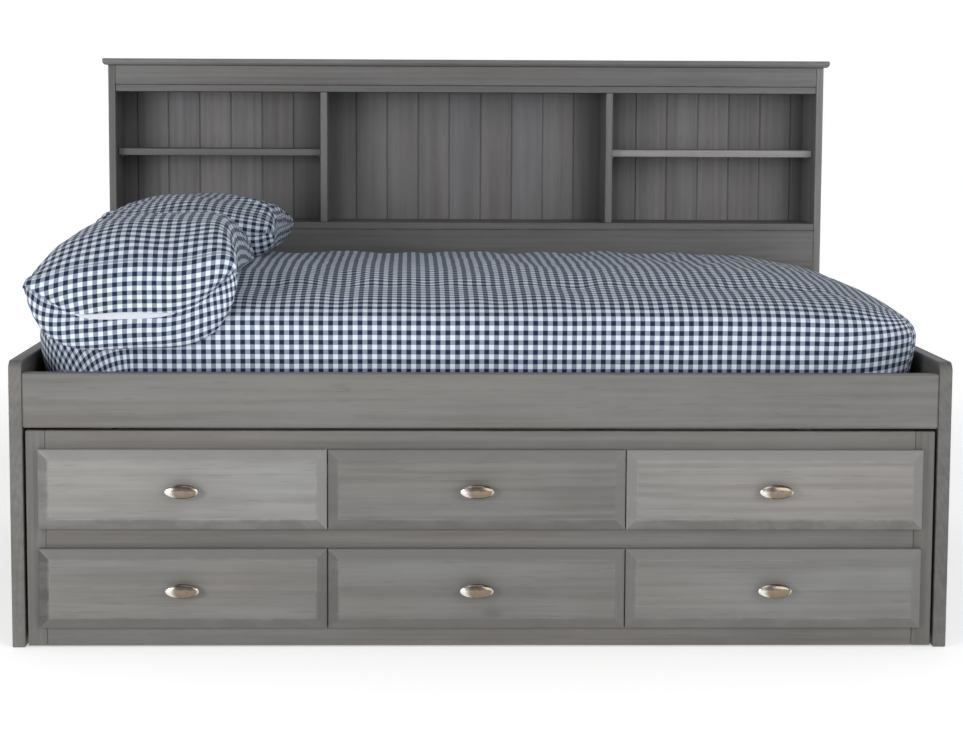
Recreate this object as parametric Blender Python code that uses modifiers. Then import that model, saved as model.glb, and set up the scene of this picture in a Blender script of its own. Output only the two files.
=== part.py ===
"""Bookcase daybed with a rolling trundle unit.

A full-size bed stands lengthwise in front of a three-bay bookcase. A trundle unit on four
casters rolls out from under it: three false fronts hide its mattress deck, and three real
drawers run below the deck.

Frame: +X to the viewer's right, +Y to the back, +Z up. The origin is on the floor, under
the middle of the whole piece.
"""
import math

import bmesh
import bpy
from mathutils import Matrix, Vector

# ---- Clearances -------------------------------------------------------------------------
TOUCH = 0.0003  # left between two faces that touch
SIDE_GAP = 0.006  # trundle unit to each end panel
UNIT_RAIL_GAP = 0.006  # trundle unit to the front rail above it
UNIT_SET_BACK = 0.002  # trundle frame behind the end panels' front edges
FRONT_GAP = 0.002  # between neighbouring fronts
DRAWER_SIDE_GAP = 0.005
DRAWER_TOP_GAP = 0.018
DRAWER_FLOOR_GAP = 0.003  # drawer box above the bottom rail
GUIDE_GAP = 0.002  # runner in the drawer's guide notch, each side
RUNNER_GAP = 0.0008  # drawer bottom above its runner
AXLE_GAP = 0.0004
WHEEL_GAP = 0.0025  # wheel to its fork
SHELF_END_GAP = 0.0015

# ---- Bed --------------------------------------------------------------------------------
MATTRESS_LENGTH = 1.905
MATTRESS_WIDTH = 1.372
MATTRESS_HEIGHT = 0.235
MATTRESS_ROUND = 0.055
MATTRESS_END_GAP = 0.0349
MATTRESS_FRONT_GAP = 0.0114
MATTRESS_BACK_GAP = 0.018
PANEL_T = 0.0286  # end panels and rails
END_PANEL_RISE = 0.026  # above the front rail
END_PANEL_ROUND = 0.020
RAIL_BOTTOM = 0.481
RAIL_HEIGHT = 0.119
BEARER_HEIGHT = 0.044  # front cleat, centre beam and rear rail
BEARER_WIDTH = 0.040
CLEAT_WIDTH = 0.022
SLAT_T = 0.019
SLAT_WIDTH = 0.070
BED_SLAT_COUNT = 14
SLAT_END_GAP = 0.004
STRAP_WIDTH = 0.025
STRAP_T = 0.002
EDGE_EASE = 0.0016

# ---- Bookcase ---------------------------------------------------------------------------
CASE_DEPTH = 0.216
BOARD_T = 0.019
APRON_HEIGHT = 0.3534
BAY_HEIGHT = 0.359
MIDDLE_BAY = 0.790  # between the dividers' middles
SHELF_RISE = 0.183  # loose shelf's underside above the bottom shelf
SHELF_SET_BACK = 0.045
TOP_SET_BACK = 0.004
FASCIA_HEIGHT = 0.0525
CROWN_T = 0.0175
CROWN_OVERHANG = 0.014
CROWN_EASE = 0.006
BACK_T = 0.009
BACK_GROUND = 0.050
PLANK_PITCH = 0.0889
GROOVE_WIDTH = 0.005
GROOVE_DEPTH = 0.0025

# ---- Trundle unit -----------------------------------------------------------------------
UNIT_DEPTH = 1.043
UNIT_GROUND = 0.004
FRAME_T = 0.022
STILE_WIDTH = 0.0415
FRONT_SIDE_MARGIN = 0.0265  # unit's edge to the first front
LEFT_FRONT_SHY = 0.0215  # the left fronts are narrower than the rest by this
FRONT_TOP_MARGIN = 0.039
FRONT_ROW_GAP = 0.042
RAIL_COVER = 0.0065  # fronts lap over the middle rail by this
TOP_RAIL_COVER = 0.0105
BOTTOM_RAIL_COVER = 0.0045
FRONT_T = 0.019
FRONT_RAISE = 0.007
FRONT_BEVEL = 0.024
UNIT_SIDE_GROUND = 0.012
UNIT_SIDE_T = 0.030
UNIT_REBATE = 0.011
DECK_RISE = 0.0174  # deck ledge above the middle rail's bottom
DECK_RIM = 0.0694  # sides and back above the ledge
DECK_SLAT_T = 0.015
DECK_SLAT_COUNT = 9
DECK_STRAP_INSET = 0.45
PARTITION_GROUND = 0.020

# ---- Drawers ----------------------------------------------------------------------------
DRAWER_DEPTH = 0.500
DRAWER_WALL = 0.012
DRAWER_BOTTOM_T = 0.006
DRAWER_BOTTOM_RISE = 0.013
RUNNER_WIDTH = 0.030
RUNNER_LAP = 0.020  # runner against the bottom rail

# ---- Knobs ------------------------------------------------------------------------------
KNOB_LENGTH = 0.074
KNOB_HEIGHT = 0.031
KNOB_THICKNESS = 0.013
KNOB_PROJECTION = 0.027
KNOB_STEM_RADIUS = 0.007
KNOB_FOOT_RADIUS = 0.010
KNOB_FOOT_T = 0.003

# ---- Casters ----------------------------------------------------------------------------
WHEEL_RADIUS = 0.022
WHEEL_WIDTH = 0.020
WHEEL_ROUND = 0.003
AXLE_RADIUS = 0.0035
FORK_T = 0.003
BRACKET_ROOM = 0.0035  # drawer box above the bracket
FORK_LENGTH = 0.040
CASTER_INSET = 0.062  # caster's middle from the frame's back, and from the back board

# ---- Pillows ----------------------------------------------------------------------------
PILLOW_WIDTH = 0.495
PILLOW_BACK_GAP = 0.086  # rear pillow to the bookcase
PILLOW_HEIGHT = 0.165
PILLOW_ROUND = 0.068
PILLOW_LEFT = 0.016  # pillows' outer edge inside the end panel's outer face
PILLOW_FRONT = 0.004
PILLOW_GAP = 0.020
PILLOW_LIFT = 0.001

# ---- Places worked out from the sizes ----------------------------------------------------
INSIDE = MATTRESS_LENGTH + 2 * MATTRESS_END_GAP
BED_WIDTH = INSIDE + 2 * PANEL_T
BED_DEPTH = PANEL_T + MATTRESS_FRONT_GAP + MATTRESS_WIDTH + MATTRESS_BACK_GAP
FRONT_PROUD = FRONT_T + TOUCH - UNIT_SET_BACK + TOUCH + KNOB_PROJECTION
TOTAL_DEPTH = FRONT_PROUD + BED_DEPTH + CASE_DEPTH
Y_FRONT = FRONT_PROUD - TOTAL_DEPTH / 2  # end panels' front edges
Y_CASE = Y_FRONT + BED_DEPTH
Y_BACK = Y_CASE + CASE_DEPTH
Y_UNIT = Y_FRONT + UNIT_SET_BACK
Y_UNIT_INSIDE = Y_UNIT + FRAME_T + TOUCH
Y_UNIT_BACK = Y_UNIT + UNIT_DEPTH
END_PANEL_HEIGHT = RAIL_BOTTOM + RAIL_HEIGHT + END_PANEL_RISE
SLAT_UNDERSIDE = RAIL_BOTTOM + BEARER_HEIGHT + 2 * TOUCH
SLAT_TOP = SLAT_UNDERSIDE + SLAT_T
MATTRESS_BOTTOM = SLAT_TOP + TOUCH
MATTRESS_TOP = MATTRESS_BOTTOM + MATTRESS_HEIGHT
CASE_HALF = INSIDE / 2 - TOUCH
CASE_INSIDE = CASE_HALF - BOARD_T - TOUCH
CASE_SHELF_TOP = RAIL_BOTTOM + TOUCH + APRON_HEIGHT + TOUCH + BOARD_T
BAY_TOP = CASE_SHELF_TOP + BAY_HEIGHT
FASCIA_BOTTOM = BAY_TOP + BOARD_T + TOUCH
CASE_TOP = FASCIA_BOTTOM + FASCIA_HEIGHT
Y_PLANKS = Y_BACK - BACK_T
UNIT_HALF = INSIDE / 2 - SIDE_GAP
UNIT_TOP = RAIL_BOTTOM - UNIT_RAIL_GAP
FRAME_INSIDE = UNIT_HALF - STILE_WIDTH
FORK_TOP = 2 * WHEEL_RADIUS + WHEEL_GAP + FORK_T
BOX_BOTTOM = FORK_TOP + BRACKET_ROOM
BOTTOM_RAIL_TOP = BOX_BOTTOM - DRAWER_FLOOR_GAP
LOW_FRONT_BOTTOM = BOTTOM_RAIL_TOP - BOTTOM_RAIL_COVER
FRONT_HEIGHT = (UNIT_TOP - FRONT_TOP_MARGIN - FRONT_ROW_GAP - LOW_FRONT_BOTTOM) / 2
LOW_FRONT_TOP = LOW_FRONT_BOTTOM + FRONT_HEIGHT
TOP_FRONT_BOTTOM = LOW_FRONT_TOP + FRONT_ROW_GAP
TOP_FRONT_TOP = TOP_FRONT_BOTTOM + FRONT_HEIGHT
MIDDLE_RAIL_BOTTOM = LOW_FRONT_TOP - RAIL_COVER
MIDDLE_RAIL_TOP = TOP_FRONT_BOTTOM + RAIL_COVER
TOP_RAIL_BOTTOM = TOP_FRONT_TOP - TOP_RAIL_COVER
DECK_LEDGE = MIDDLE_RAIL_BOTTOM + DECK_RISE
UNIT_SIDE_HEIGHT = DECK_LEDGE + DECK_RIM
FRONT_SPAN = 2 * (UNIT_HALF - FRONT_SIDE_MARGIN)
FRONT_WIDTH = (FRONT_SPAN + LEFT_FRONT_SHY) / 3
FRONT_EDGES = (
    -FRONT_SPAN / 2,
    -FRONT_SPAN / 2 + FRONT_WIDTH - LEFT_FRONT_SHY,
    FRONT_SPAN / 2 - FRONT_WIDTH,
    FRONT_SPAN / 2,
)
Y_FRONT_BOARD = Y_UNIT - TOUCH - FRONT_T
BOX_TOP = MIDDLE_RAIL_BOTTOM - DRAWER_TOP_GAP
DRAWER_FLOOR = BOX_BOTTOM + DRAWER_BOTTOM_RISE
RUNNER_TOP = DRAWER_FLOOR - RUNNER_GAP
RUNNER_BOTTOM = BOTTOM_RAIL_TOP - RUNNER_LAP
PILLOW_LENGTH = (BED_DEPTH - PILLOW_FRONT - PILLOW_GAP - PILLOW_BACK_GAP) / 2
COLUMN_NAMES = ("left", "middle", "right")

BED = bpy.data.collections.new("bookcase_daybed")
CUTTERS = bpy.data.collections.new("cutters")


# ---- Helpers ----------------------------------------------------------------------------
def clear_scene():
    for thing in list(bpy.data.objects):
        bpy.data.objects.remove(thing, do_unlink=True)


def finish(name, color, roughness, metallic=0.0):
    """A plain Principled material."""
    made = bpy.data.materials.new(name)
    made.use_nodes = True
    shader = made.node_tree.nodes["Principled BSDF"]
    shader.inputs["Base Color"].default_value = (*color, 1.0)
    shader.inputs["Roughness"].default_value = roughness
    shader.inputs["Metallic"].default_value = metallic
    made.diffuse_color = (*color, 1.0)
    return made


def place(name, mesh, material, origin=(0, 0, 0), collection=BED):
    """One object for a mesh whose points are given from origin."""
    thing = bpy.data.objects.new(name, mesh)
    thing.location = origin
    collection.objects.link(thing)
    if material is not None and not mesh.materials:
        mesh.materials.append(material)
    return thing


def block_bmesh(low, high):
    """A box between two corners."""
    low = Vector(low)
    high = Vector(high)
    made = bmesh.new()
    bmesh.ops.create_cube(made, size=1.0)
    size = high - low
    shift = Matrix.Translation((low + high) / 2)
    bmesh.ops.transform(made, matrix=shift @ Matrix.Diagonal((*size, 1.0)), verts=made.verts)
    return made


def to_mesh(name, made):
    """The bmesh as a mesh with its faces pointing out."""
    bmesh.ops.recalc_face_normals(made, faces=made.faces)
    mesh = bpy.data.meshes.new(name)
    made.to_mesh(mesh)
    made.free()
    return mesh


def soften(thing, width, segments=1):
    """Eased edges; a curved face's own facets stay as they are."""
    bevel = thing.modifiers.new("eased_edges", "BEVEL")
    bevel.width = width
    bevel.segments = segments
    bevel.limit_method = "ANGLE"
    bevel.angle_limit = math.radians(35)
    return thing


def board(name, low, high, material, ease=EDGE_EASE, origin=(0, 0, 0)):
    """A sawn board with eased edges, between two corners of the whole piece's frame."""
    made = block_bmesh(Vector(low) - Vector(origin), Vector(high) - Vector(origin))
    return soften(place(name, to_mesh(name, made), material, origin), ease)


def join_solid(thing, other, operation):
    """Boolean with a guide object, which stays in the cutters' collection."""
    other.hide_render = True
    other.display_type = "WIRE"
    boolean = thing.modifiers.new(operation.lower(), "BOOLEAN")
    boolean.operation = operation
    boolean.solver = "EXACT"
    boolean.object = other
    return thing


def guide_block(name, low, high):
    return place(name, to_mesh(name, block_bmesh(low, high)), None, collection=CUTTERS)


def guide_rod(name, middle, radius, length):
    """A cylinder along X."""
    made = bmesh.new()
    bmesh.ops.create_cone(
        made, cap_ends=True, segments=24, radius1=radius, radius2=radius, depth=length
    )
    turn = Matrix.Translation(middle) @ Matrix.Rotation(math.pi / 2, 4, "Y")
    bmesh.ops.transform(made, matrix=turn, verts=made.verts)
    return place(name, to_mesh(name, made), None, collection=CUTTERS)


def slat_roll(name, boxes, straps, material):
    """Slats sewn to webbing straps, as one body: the straps bite into the slats."""
    whole = bmesh.new()
    for low, high in boxes:
        part = block_bmesh(low, high)
        mesh = to_mesh("slat", part)
        whole.from_mesh(mesh)
        bpy.data.meshes.remove(mesh)
    roll = place(name, to_mesh(name, whole), material)
    webbing = bmesh.new()
    for low, high in straps:
        mesh = to_mesh("strap", block_bmesh(low, high))
        webbing.from_mesh(mesh)
        bpy.data.meshes.remove(mesh)
    guide = place(name + "_straps", to_mesh(name + "_straps", webbing), None, collection=CUTTERS)
    return join_solid(roll, guide, "UNION")


# ---- Bed frame --------------------------------------------------------------------------
def end_panel(name, side, material):
    """A solid end, its front top corner rounded."""
    inner = side * INSIDE / 2
    outer = side * BED_WIDTH / 2
    low = (min(inner, outer), Y_FRONT, 0.0)
    high = (max(inner, outer), Y_BACK, END_PANEL_HEIGHT)
    made = block_bmesh(low, high)
    corner = [
        edge
        for edge in made.edges
        if all(v.co.y < Y_FRONT + TOUCH and v.co.z > END_PANEL_HEIGHT - TOUCH for v in edge.verts)
    ]
    bmesh.ops.bevel(
        made, geom=corner, offset=END_PANEL_ROUND, segments=8, profile=0.5, affect="EDGES"
    )
    return soften(place(name, to_mesh(name, made), material), 2 * EDGE_EASE, 2)


def bed_frame(wood, slat_wood):
    reach = INSIDE / 2 - TOUCH
    end_panel("left_end_panel", -1, wood)
    end_panel("right_end_panel", 1, wood)
    rail_back = Y_FRONT + PANEL_T
    board(
        "front_rail",
        (-reach, Y_FRONT, RAIL_BOTTOM),
        (reach, rail_back, RAIL_BOTTOM + RAIL_HEIGHT),
        wood,
        2 * EDGE_EASE,
    )
    low = RAIL_BOTTOM + TOUCH
    high = low + BEARER_HEIGHT
    cleat_front = rail_back + TOUCH
    board("front_cleat", (-reach, cleat_front, low), (reach, cleat_front + CLEAT_WIDTH, high), slat_wood)
    rear_back = Y_CASE - TOUCH
    board("rear_rail", (-reach, rear_back - PANEL_T, low), (reach, rear_back, high), wood)
    middle = (cleat_front + rear_back) / 2
    board(
        "centre_beam",
        (-reach, middle - BEARER_WIDTH / 2, low),
        (reach, middle + BEARER_WIDTH / 2, high),
        slat_wood,
    )
    bed_slats(cleat_front + SLAT_END_GAP, rear_back - SLAT_END_GAP, slat_wood)


def bed_slats(front, back, material):
    """Slats from the front cleat over the centre beam to the rear rail."""
    end = INSIDE / 2 - SLAT_END_GAP
    pitch = (2 * end - SLAT_WIDTH) / (BED_SLAT_COUNT - 1)
    boxes = []
    for index in range(BED_SLAT_COUNT):
        left = -end + index * pitch
        boxes.append(((left, front, SLAT_UNDERSIDE), (left + SLAT_WIDTH, back, SLAT_TOP)))
    straps = []
    for share in (0.25, 0.75):
        middle = front + share * (back - front)
        low = (-end + SLAT_WIDTH / 2, middle - STRAP_WIDTH / 2, SLAT_UNDERSIDE + STRAP_T)
        high = (end - SLAT_WIDTH / 2, middle + STRAP_WIDTH / 2, SLAT_UNDERSIDE + 2 * STRAP_T)
        straps.append((low, high))
    slat_roll("bed_slats", boxes, straps, material)


# ---- Bookcase ---------------------------------------------------------------------------
def bookcase(wood):
    for name, side in (("left", -1), ("right", 1)):
        outer = side * CASE_HALF
        inner = side * (CASE_HALF - BOARD_T)
        board(
            "bookcase_%s_side" % name,
            (min(outer, inner), Y_CASE, 0.0),
            (max(outer, inner), Y_BACK, CASE_TOP),
            wood,
        )
    crown_half = CASE_HALF + CROWN_OVERHANG
    board(
        "bookcase_crown",
        (-crown_half, Y_CASE - CROWN_OVERHANG, CASE_TOP + TOUCH),
        (crown_half, Y_BACK, CASE_TOP + TOUCH + CROWN_T),
        wood,
        CROWN_EASE,
    )
    board(
        "bookcase_fascia",
        (-CASE_INSIDE, Y_CASE, FASCIA_BOTTOM),
        (CASE_INSIDE, Y_CASE + BOARD_T, CASE_TOP),
        wood,
    )
    inner_back = Y_PLANKS - TOUCH
    board(
        "bookcase_top_board",
        (-CASE_INSIDE, Y_CASE + TOP_SET_BACK, BAY_TOP),
        (CASE_INSIDE, inner_back, BAY_TOP + BOARD_T),
        wood,
    )
    shelf_under = CASE_SHELF_TOP - BOARD_T
    board(
        "bookcase_bottom_shelf",
        (-CASE_INSIDE, Y_CASE, shelf_under),
        (CASE_INSIDE, inner_back, CASE_SHELF_TOP),
        wood,
    )
    board(
        "bookcase_apron",
        (-CASE_INSIDE, Y_CASE, RAIL_BOTTOM + TOUCH),
        (CASE_INSIDE, Y_CASE + BOARD_T, shelf_under - TOUCH),
        wood,
    )
    bookcase_bays(wood, inner_back)
    planked_back(wood)


def bookcase_bays(wood, inner_back):
    """Two dividers, and a loose shelf in each outer bay."""
    divider_inner = MIDDLE_BAY / 2 - BOARD_T / 2
    divider_outer = MIDDLE_BAY / 2 + BOARD_T / 2
    shelf_low = CASE_SHELF_TOP + SHELF_RISE
    shelf_inner = divider_outer + SHELF_END_GAP
    shelf_outer = CASE_INSIDE + TOUCH - SHELF_END_GAP
    for name, side in (("left", -1), ("right", 1)):
        ends = sorted((side * divider_inner, side * divider_outer))
        board(
            "bookcase_%s_divider" % name,
            (ends[0], Y_CASE + TOP_SET_BACK, CASE_SHELF_TOP + TOUCH),
            (ends[1], inner_back, BAY_TOP - TOUCH),
            wood,
        )
        ends = sorted((side * shelf_inner, side * shelf_outer))
        board(
            "bookcase_%s_shelf" % name,
            (ends[0], Y_CASE + SHELF_SET_BACK, shelf_low),
            (ends[1], inner_back, shelf_low + BOARD_T),
            wood,
        )


def planked_back(wood):
    """Upright planks glued edge to edge; the joints show as V grooves on the front."""
    outline = [Vector((-CASE_INSIDE, Y_BACK, 0)), Vector((CASE_INSIDE, Y_BACK, 0))]
    outline.append(Vector((CASE_INSIDE, Y_PLANKS, 0)))
    count = int((CASE_INSIDE - GROOVE_WIDTH) / PLANK_PITCH + 0.5)
    for index in range(count - 1, -count - 1, -1):
        middle = (index + 0.5) * PLANK_PITCH
        outline.append(Vector((middle + GROOVE_WIDTH / 2, Y_PLANKS, 0)))
        outline.append(Vector((middle, Y_PLANKS + GROOVE_DEPTH, 0)))
        outline.append(Vector((middle - GROOVE_WIDTH / 2, Y_PLANKS, 0)))
    outline.append(Vector((-CASE_INSIDE, Y_PLANKS, 0)))
    made = bmesh.new()
    face = made.faces.new([made.verts.new(point) for point in outline])
    raised = bmesh.ops.extrude_face_region(made, geom=[face])
    lifted = [item for item in raised["geom"] if isinstance(item, bmesh.types.BMVert)]
    height = CASE_TOP - BACK_GROUND
    bmesh.ops.translate(made, verts=lifted, vec=(0, 0, height))
    bmesh.ops.translate(made, verts=made.verts, vec=(0, 0, BACK_GROUND))
    place("bookcase_back", to_mesh("bookcase_back", made), wood)


# ---- Trundle unit -----------------------------------------------------------------------
def front_span(column):
    """A front's left and right edges."""
    left = FRONT_EDGES[column] + (FRONT_GAP / 2 if column > 0 else 0.0)
    right = FRONT_EDGES[column + 1] - (FRONT_GAP / 2 if column < 2 else 0.0)
    return left, right


def raised_front(name, column, bottom, material):
    """A front whose wide bevel rises from a thinner edge to a flat field."""
    left, right = front_span(column)
    back = Y_UNIT - TOUCH
    edge_front = back - (FRONT_T - FRONT_RAISE)
    made = block_bmesh((left, edge_front, bottom), (right, back, bottom + FRONT_HEIGHT))
    made.faces.ensure_lookup_table()
    face = min(made.faces, key=lambda one: one.calc_center_median().y)
    bmesh.ops.recalc_face_normals(made, faces=made.faces)
    bmesh.ops.inset_region(
        made, faces=[face], thickness=FRONT_BEVEL, depth=FRONT_RAISE, use_even_offset=True
    )
    return soften(place(name, to_mesh(name, made), material), EDGE_EASE)


def face_frame(wood):
    back = Y_UNIT + FRAME_T
    for name, side in (("left", -1), ("right", 1)):
        ends = sorted((side * UNIT_HALF, side * FRAME_INSIDE))
        board(
            "trundle_%s_stile" % name,
            (ends[0], Y_UNIT, UNIT_GROUND),
            (ends[1], back, UNIT_TOP),
            wood,
        )
    reach = FRAME_INSIDE - TOUCH
    rails = (
        ("trundle_top_rail", TOP_RAIL_BOTTOM, UNIT_TOP),
        ("trundle_middle_rail", MIDDLE_RAIL_BOTTOM, MIDDLE_RAIL_TOP),
        ("trundle_bottom_rail", UNIT_GROUND, BOTTOM_RAIL_TOP),
    )
    for name, low, high in rails:
        board(name, (-reach, Y_UNIT, low), (reach, back, high), wood)


def rebated_side(name, side, material):
    """A side board with a ledge cut for the deck slats' ends."""
    inner = UNIT_HALF - UNIT_SIDE_T
    ledge = UNIT_HALF - UNIT_SIDE_T + UNIT_REBATE
    profile = (
        (UNIT_HALF, UNIT_SIDE_GROUND),
        (UNIT_HALF, UNIT_SIDE_HEIGHT),
        (ledge, UNIT_SIDE_HEIGHT),
        (ledge, DECK_LEDGE),
        (inner, DECK_LEDGE),
        (inner, UNIT_SIDE_GROUND),
    )
    made = bmesh.new()
    corners = [made.verts.new((side * x, Y_UNIT_INSIDE, z)) for x, z in profile]
    face = made.faces.new(corners)
    raised = bmesh.ops.extrude_face_region(made, geom=[face])
    moved = [item for item in raised["geom"] if isinstance(item, bmesh.types.BMVert)]
    bmesh.ops.translate(made, verts=moved, vec=(0, Y_UNIT_BACK - Y_UNIT_INSIDE, 0))
    return soften(place(name, to_mesh(name, made), material), EDGE_EASE)


def trundle_case(wood, slat_wood):
    for name, side in (("left", -1), ("right", 1)):
        rebated_side("trundle_%s_side" % name, side, wood)
    reach = UNIT_HALF - UNIT_SIDE_T - TOUCH
    back_front = Y_UNIT_BACK - BOARD_T
    board(
        "trundle_back",
        (-reach, back_front, UNIT_SIDE_GROUND),
        (reach, Y_UNIT_BACK, UNIT_SIDE_HEIGHT),
        wood,
    )
    for name, middle in (("left", FRONT_EDGES[1]), ("right", FRONT_EDGES[2])):
        board(
            "trundle_%s_partition" % name,
            (middle - BOARD_T / 2, Y_UNIT_INSIDE, PARTITION_GROUND),
            (middle + BOARD_T / 2, back_front - TOUCH, DECK_LEDGE),
            slat_wood,
        )
    deck_slats(Y_UNIT_INSIDE + SLAT_END_GAP, back_front - SLAT_END_GAP, slat_wood)


def deck_slats(front, back, material):
    """Slats along X, from ledge to ledge over the two partitions."""
    end = UNIT_HALF - UNIT_SIDE_T + UNIT_REBATE - SLAT_END_GAP
    bottom = DECK_LEDGE + TOUCH
    pitch = (back - front - SLAT_WIDTH) / (DECK_SLAT_COUNT - 1)
    boxes = []
    for index in range(DECK_SLAT_COUNT):
        start = front + index * pitch
        boxes.append(((-end, start, bottom), (end, start + SLAT_WIDTH, bottom + DECK_SLAT_T)))
    straps = []
    for side in (-1, 1):
        middle = side * DECK_STRAP_INSET
        low = (middle - STRAP_WIDTH / 2, front + SLAT_WIDTH / 2, bottom + STRAP_T)
        high = (middle + STRAP_WIDTH / 2, back - SLAT_WIDTH / 2, bottom + 2 * STRAP_T)
        straps.append((low, high))
    slat_roll("trundle_slats", boxes, straps, material)


def false_fronts(wood):
    for column, name in enumerate(COLUMN_NAMES):
        raised_front("false_front_%s" % name, column, TOP_FRONT_BOTTOM, wood)


# ---- Drawers ----------------------------------------------------------------------------
def drawer_opening(column):
    """Clear width for a drawer box between the stiles and the partitions."""
    edges = (
        -FRAME_INSIDE,
        FRONT_EDGES[1] - BOARD_T / 2,
        FRONT_EDGES[1] + BOARD_T / 2,
        FRONT_EDGES[2] - BOARD_T / 2,
        FRONT_EDGES[2] + BOARD_T / 2,
        FRAME_INSIDE,
    )
    return edges[2 * column] + DRAWER_SIDE_GAP, edges[2 * column + 1] - DRAWER_SIDE_GAP


def drawer(column, name, wood, box_wood):
    left, right = drawer_opening(column)
    middle = (left + right) / 2
    front = Y_UNIT
    back = front + DRAWER_DEPTH
    raised_front("drawer_front_%s" % name, column, LOW_FRONT_BOTTOM, wood)
    label = "drawer_box_%s" % name
    made = block_bmesh((left, front, BOX_BOTTOM), (right, back, BOX_TOP))
    box = place(label, to_mesh(label, made), box_wood)
    inside_low = (left + DRAWER_WALL, front + DRAWER_WALL, DRAWER_FLOOR + DRAWER_BOTTOM_T)
    inside_high = (right - DRAWER_WALL, back - DRAWER_WALL, BOX_TOP + DRAWER_WALL)
    join_solid(box, guide_block(label + "_inside", inside_low, inside_high), "DIFFERENCE")
    under_low = (left + DRAWER_WALL, front + DRAWER_WALL, BOX_BOTTOM - DRAWER_WALL)
    under_high = (right - DRAWER_WALL, back - DRAWER_WALL, DRAWER_FLOOR)
    join_solid(box, guide_block(label + "_under", under_low, under_high), "DIFFERENCE")
    half_notch = RUNNER_WIDTH / 2 + GUIDE_GAP
    notch_low = (middle - half_notch, back - 2 * DRAWER_WALL, BOX_BOTTOM - DRAWER_WALL)
    notch_high = (middle + half_notch, back + DRAWER_WALL, DRAWER_FLOOR)
    join_solid(box, guide_block(label + "_notch", notch_low, notch_high), "DIFFERENCE")
    board(
        "drawer_runner_%s" % name,
        (middle - RUNNER_WIDTH / 2, Y_UNIT_INSIDE, RUNNER_BOTTOM),
        (middle + RUNNER_WIDTH / 2, Y_UNIT_BACK - BOARD_T - TOUCH, RUNNER_TOP),
        box_wood,
    )


# ---- Knobs ------------------------------------------------------------------------------
def knob_mesh(metal):
    """A flattened oval head on a round stem with a small foot, built from the foot's face."""
    head = bmesh.new()
    bmesh.ops.create_uvsphere(head, u_segments=16, v_segments=8, radius=1.0)
    size = (KNOB_LENGTH / 2, KNOB_THICKNESS / 2, KNOB_HEIGHT / 2)
    shift = Matrix.Translation((0, -(KNOB_PROJECTION - KNOB_THICKNESS / 2), 0))
    bmesh.ops.transform(head, matrix=shift @ Matrix.Diagonal((*size, 1.0)), verts=head.verts)
    base = place("knob_head", to_mesh("knob_head", head), metal, collection=CUTTERS)
    reach = KNOB_PROJECTION - KNOB_THICKNESS / 2
    profile = (
        (0.0, -reach),
        (KNOB_STEM_RADIUS, -reach),
        (KNOB_STEM_RADIUS, -KNOB_FOOT_T - TOUCH),
        (KNOB_FOOT_RADIUS, -KNOB_FOOT_T),
        (KNOB_FOOT_RADIUS, 0.0),
        (0.0, 0.0),
    )
    stem = bmesh.new()
    ring = [stem.verts.new((radius, y, 0.0)) for radius, y in profile]
    edges = [stem.edges.new(pair) for pair in zip(ring, ring[1:])]
    bmesh.ops.spin(
        stem,
        geom=ring + edges,
        cent=(0, 0, 0),
        axis=(0, 1, 0),
        angle=2 * math.pi,
        steps=12,
        use_merge=True,
        use_duplicate=False,
    )
    bmesh.ops.remove_doubles(stem, verts=stem.verts, dist=0.00001)
    guide = place("knob_stem", to_mesh("knob_stem", stem), None, collection=CUTTERS)
    join_solid(base, guide, "UNION")
    graph = bpy.context.evaluated_depsgraph_get()
    graph.update()
    mesh = bpy.data.meshes.new_from_object(base.evaluated_get(graph))
    mesh.name = "oval_knob"
    for extra in (base, guide):
        bpy.data.objects.remove(extra, do_unlink=True)
    mesh.shade_smooth()
    mesh.set_sharp_from_angle(angle=math.radians(40))
    return mesh


def knobs(metal):
    mesh = knob_mesh(metal)
    for prefix, bottom in (("knob_top", TOP_FRONT_BOTTOM), ("knob_low", LOW_FRONT_BOTTOM)):
        for column, name in enumerate(COLUMN_NAMES):
            left, right = front_span(column)
            centre = ((left + right) / 2, Y_FRONT_BOARD - TOUCH, bottom + FRONT_HEIGHT / 2)
            place("%s_%s" % (prefix, name), mesh, metal, centre)


# ---- Casters ----------------------------------------------------------------------------
def caster_wheel(name, centre, material):
    """A small wheel turned with its axle as one piece, its axis through the origin."""
    half = WHEEL_WIDTH / 2
    reach = half + WHEEL_GAP + FORK_T - TOUCH
    profile = (
        (-reach, 0.0),
        (-reach, AXLE_RADIUS),
        (-half, AXLE_RADIUS),
        (-half, WHEEL_RADIUS - WHEEL_ROUND),
        (-half + WHEEL_ROUND, WHEEL_RADIUS),
        (half - WHEEL_ROUND, WHEEL_RADIUS),
        (half, WHEEL_RADIUS - WHEEL_ROUND),
        (half, AXLE_RADIUS),
        (reach, AXLE_RADIUS),
        (reach, 0.0),
    )
    made = bmesh.new()
    ring = [made.verts.new((x, 0.0, radius)) for x, radius in profile]
    edges = [made.edges.new(pair) for pair in zip(ring, ring[1:])]
    bmesh.ops.spin(
        made,
        geom=ring + edges,
        cent=(0, 0, 0),
        axis=(1, 0, 0),
        angle=2 * math.pi,
        steps=20,
        use_merge=True,
        use_duplicate=False,
    )
    bmesh.ops.remove_doubles(made, verts=made.verts, dist=0.00001)
    mesh = to_mesh(name, made)
    mesh.shade_smooth()
    mesh.set_sharp_from_angle(angle=math.radians(40))
    return place(name, mesh, material, centre)


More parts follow.
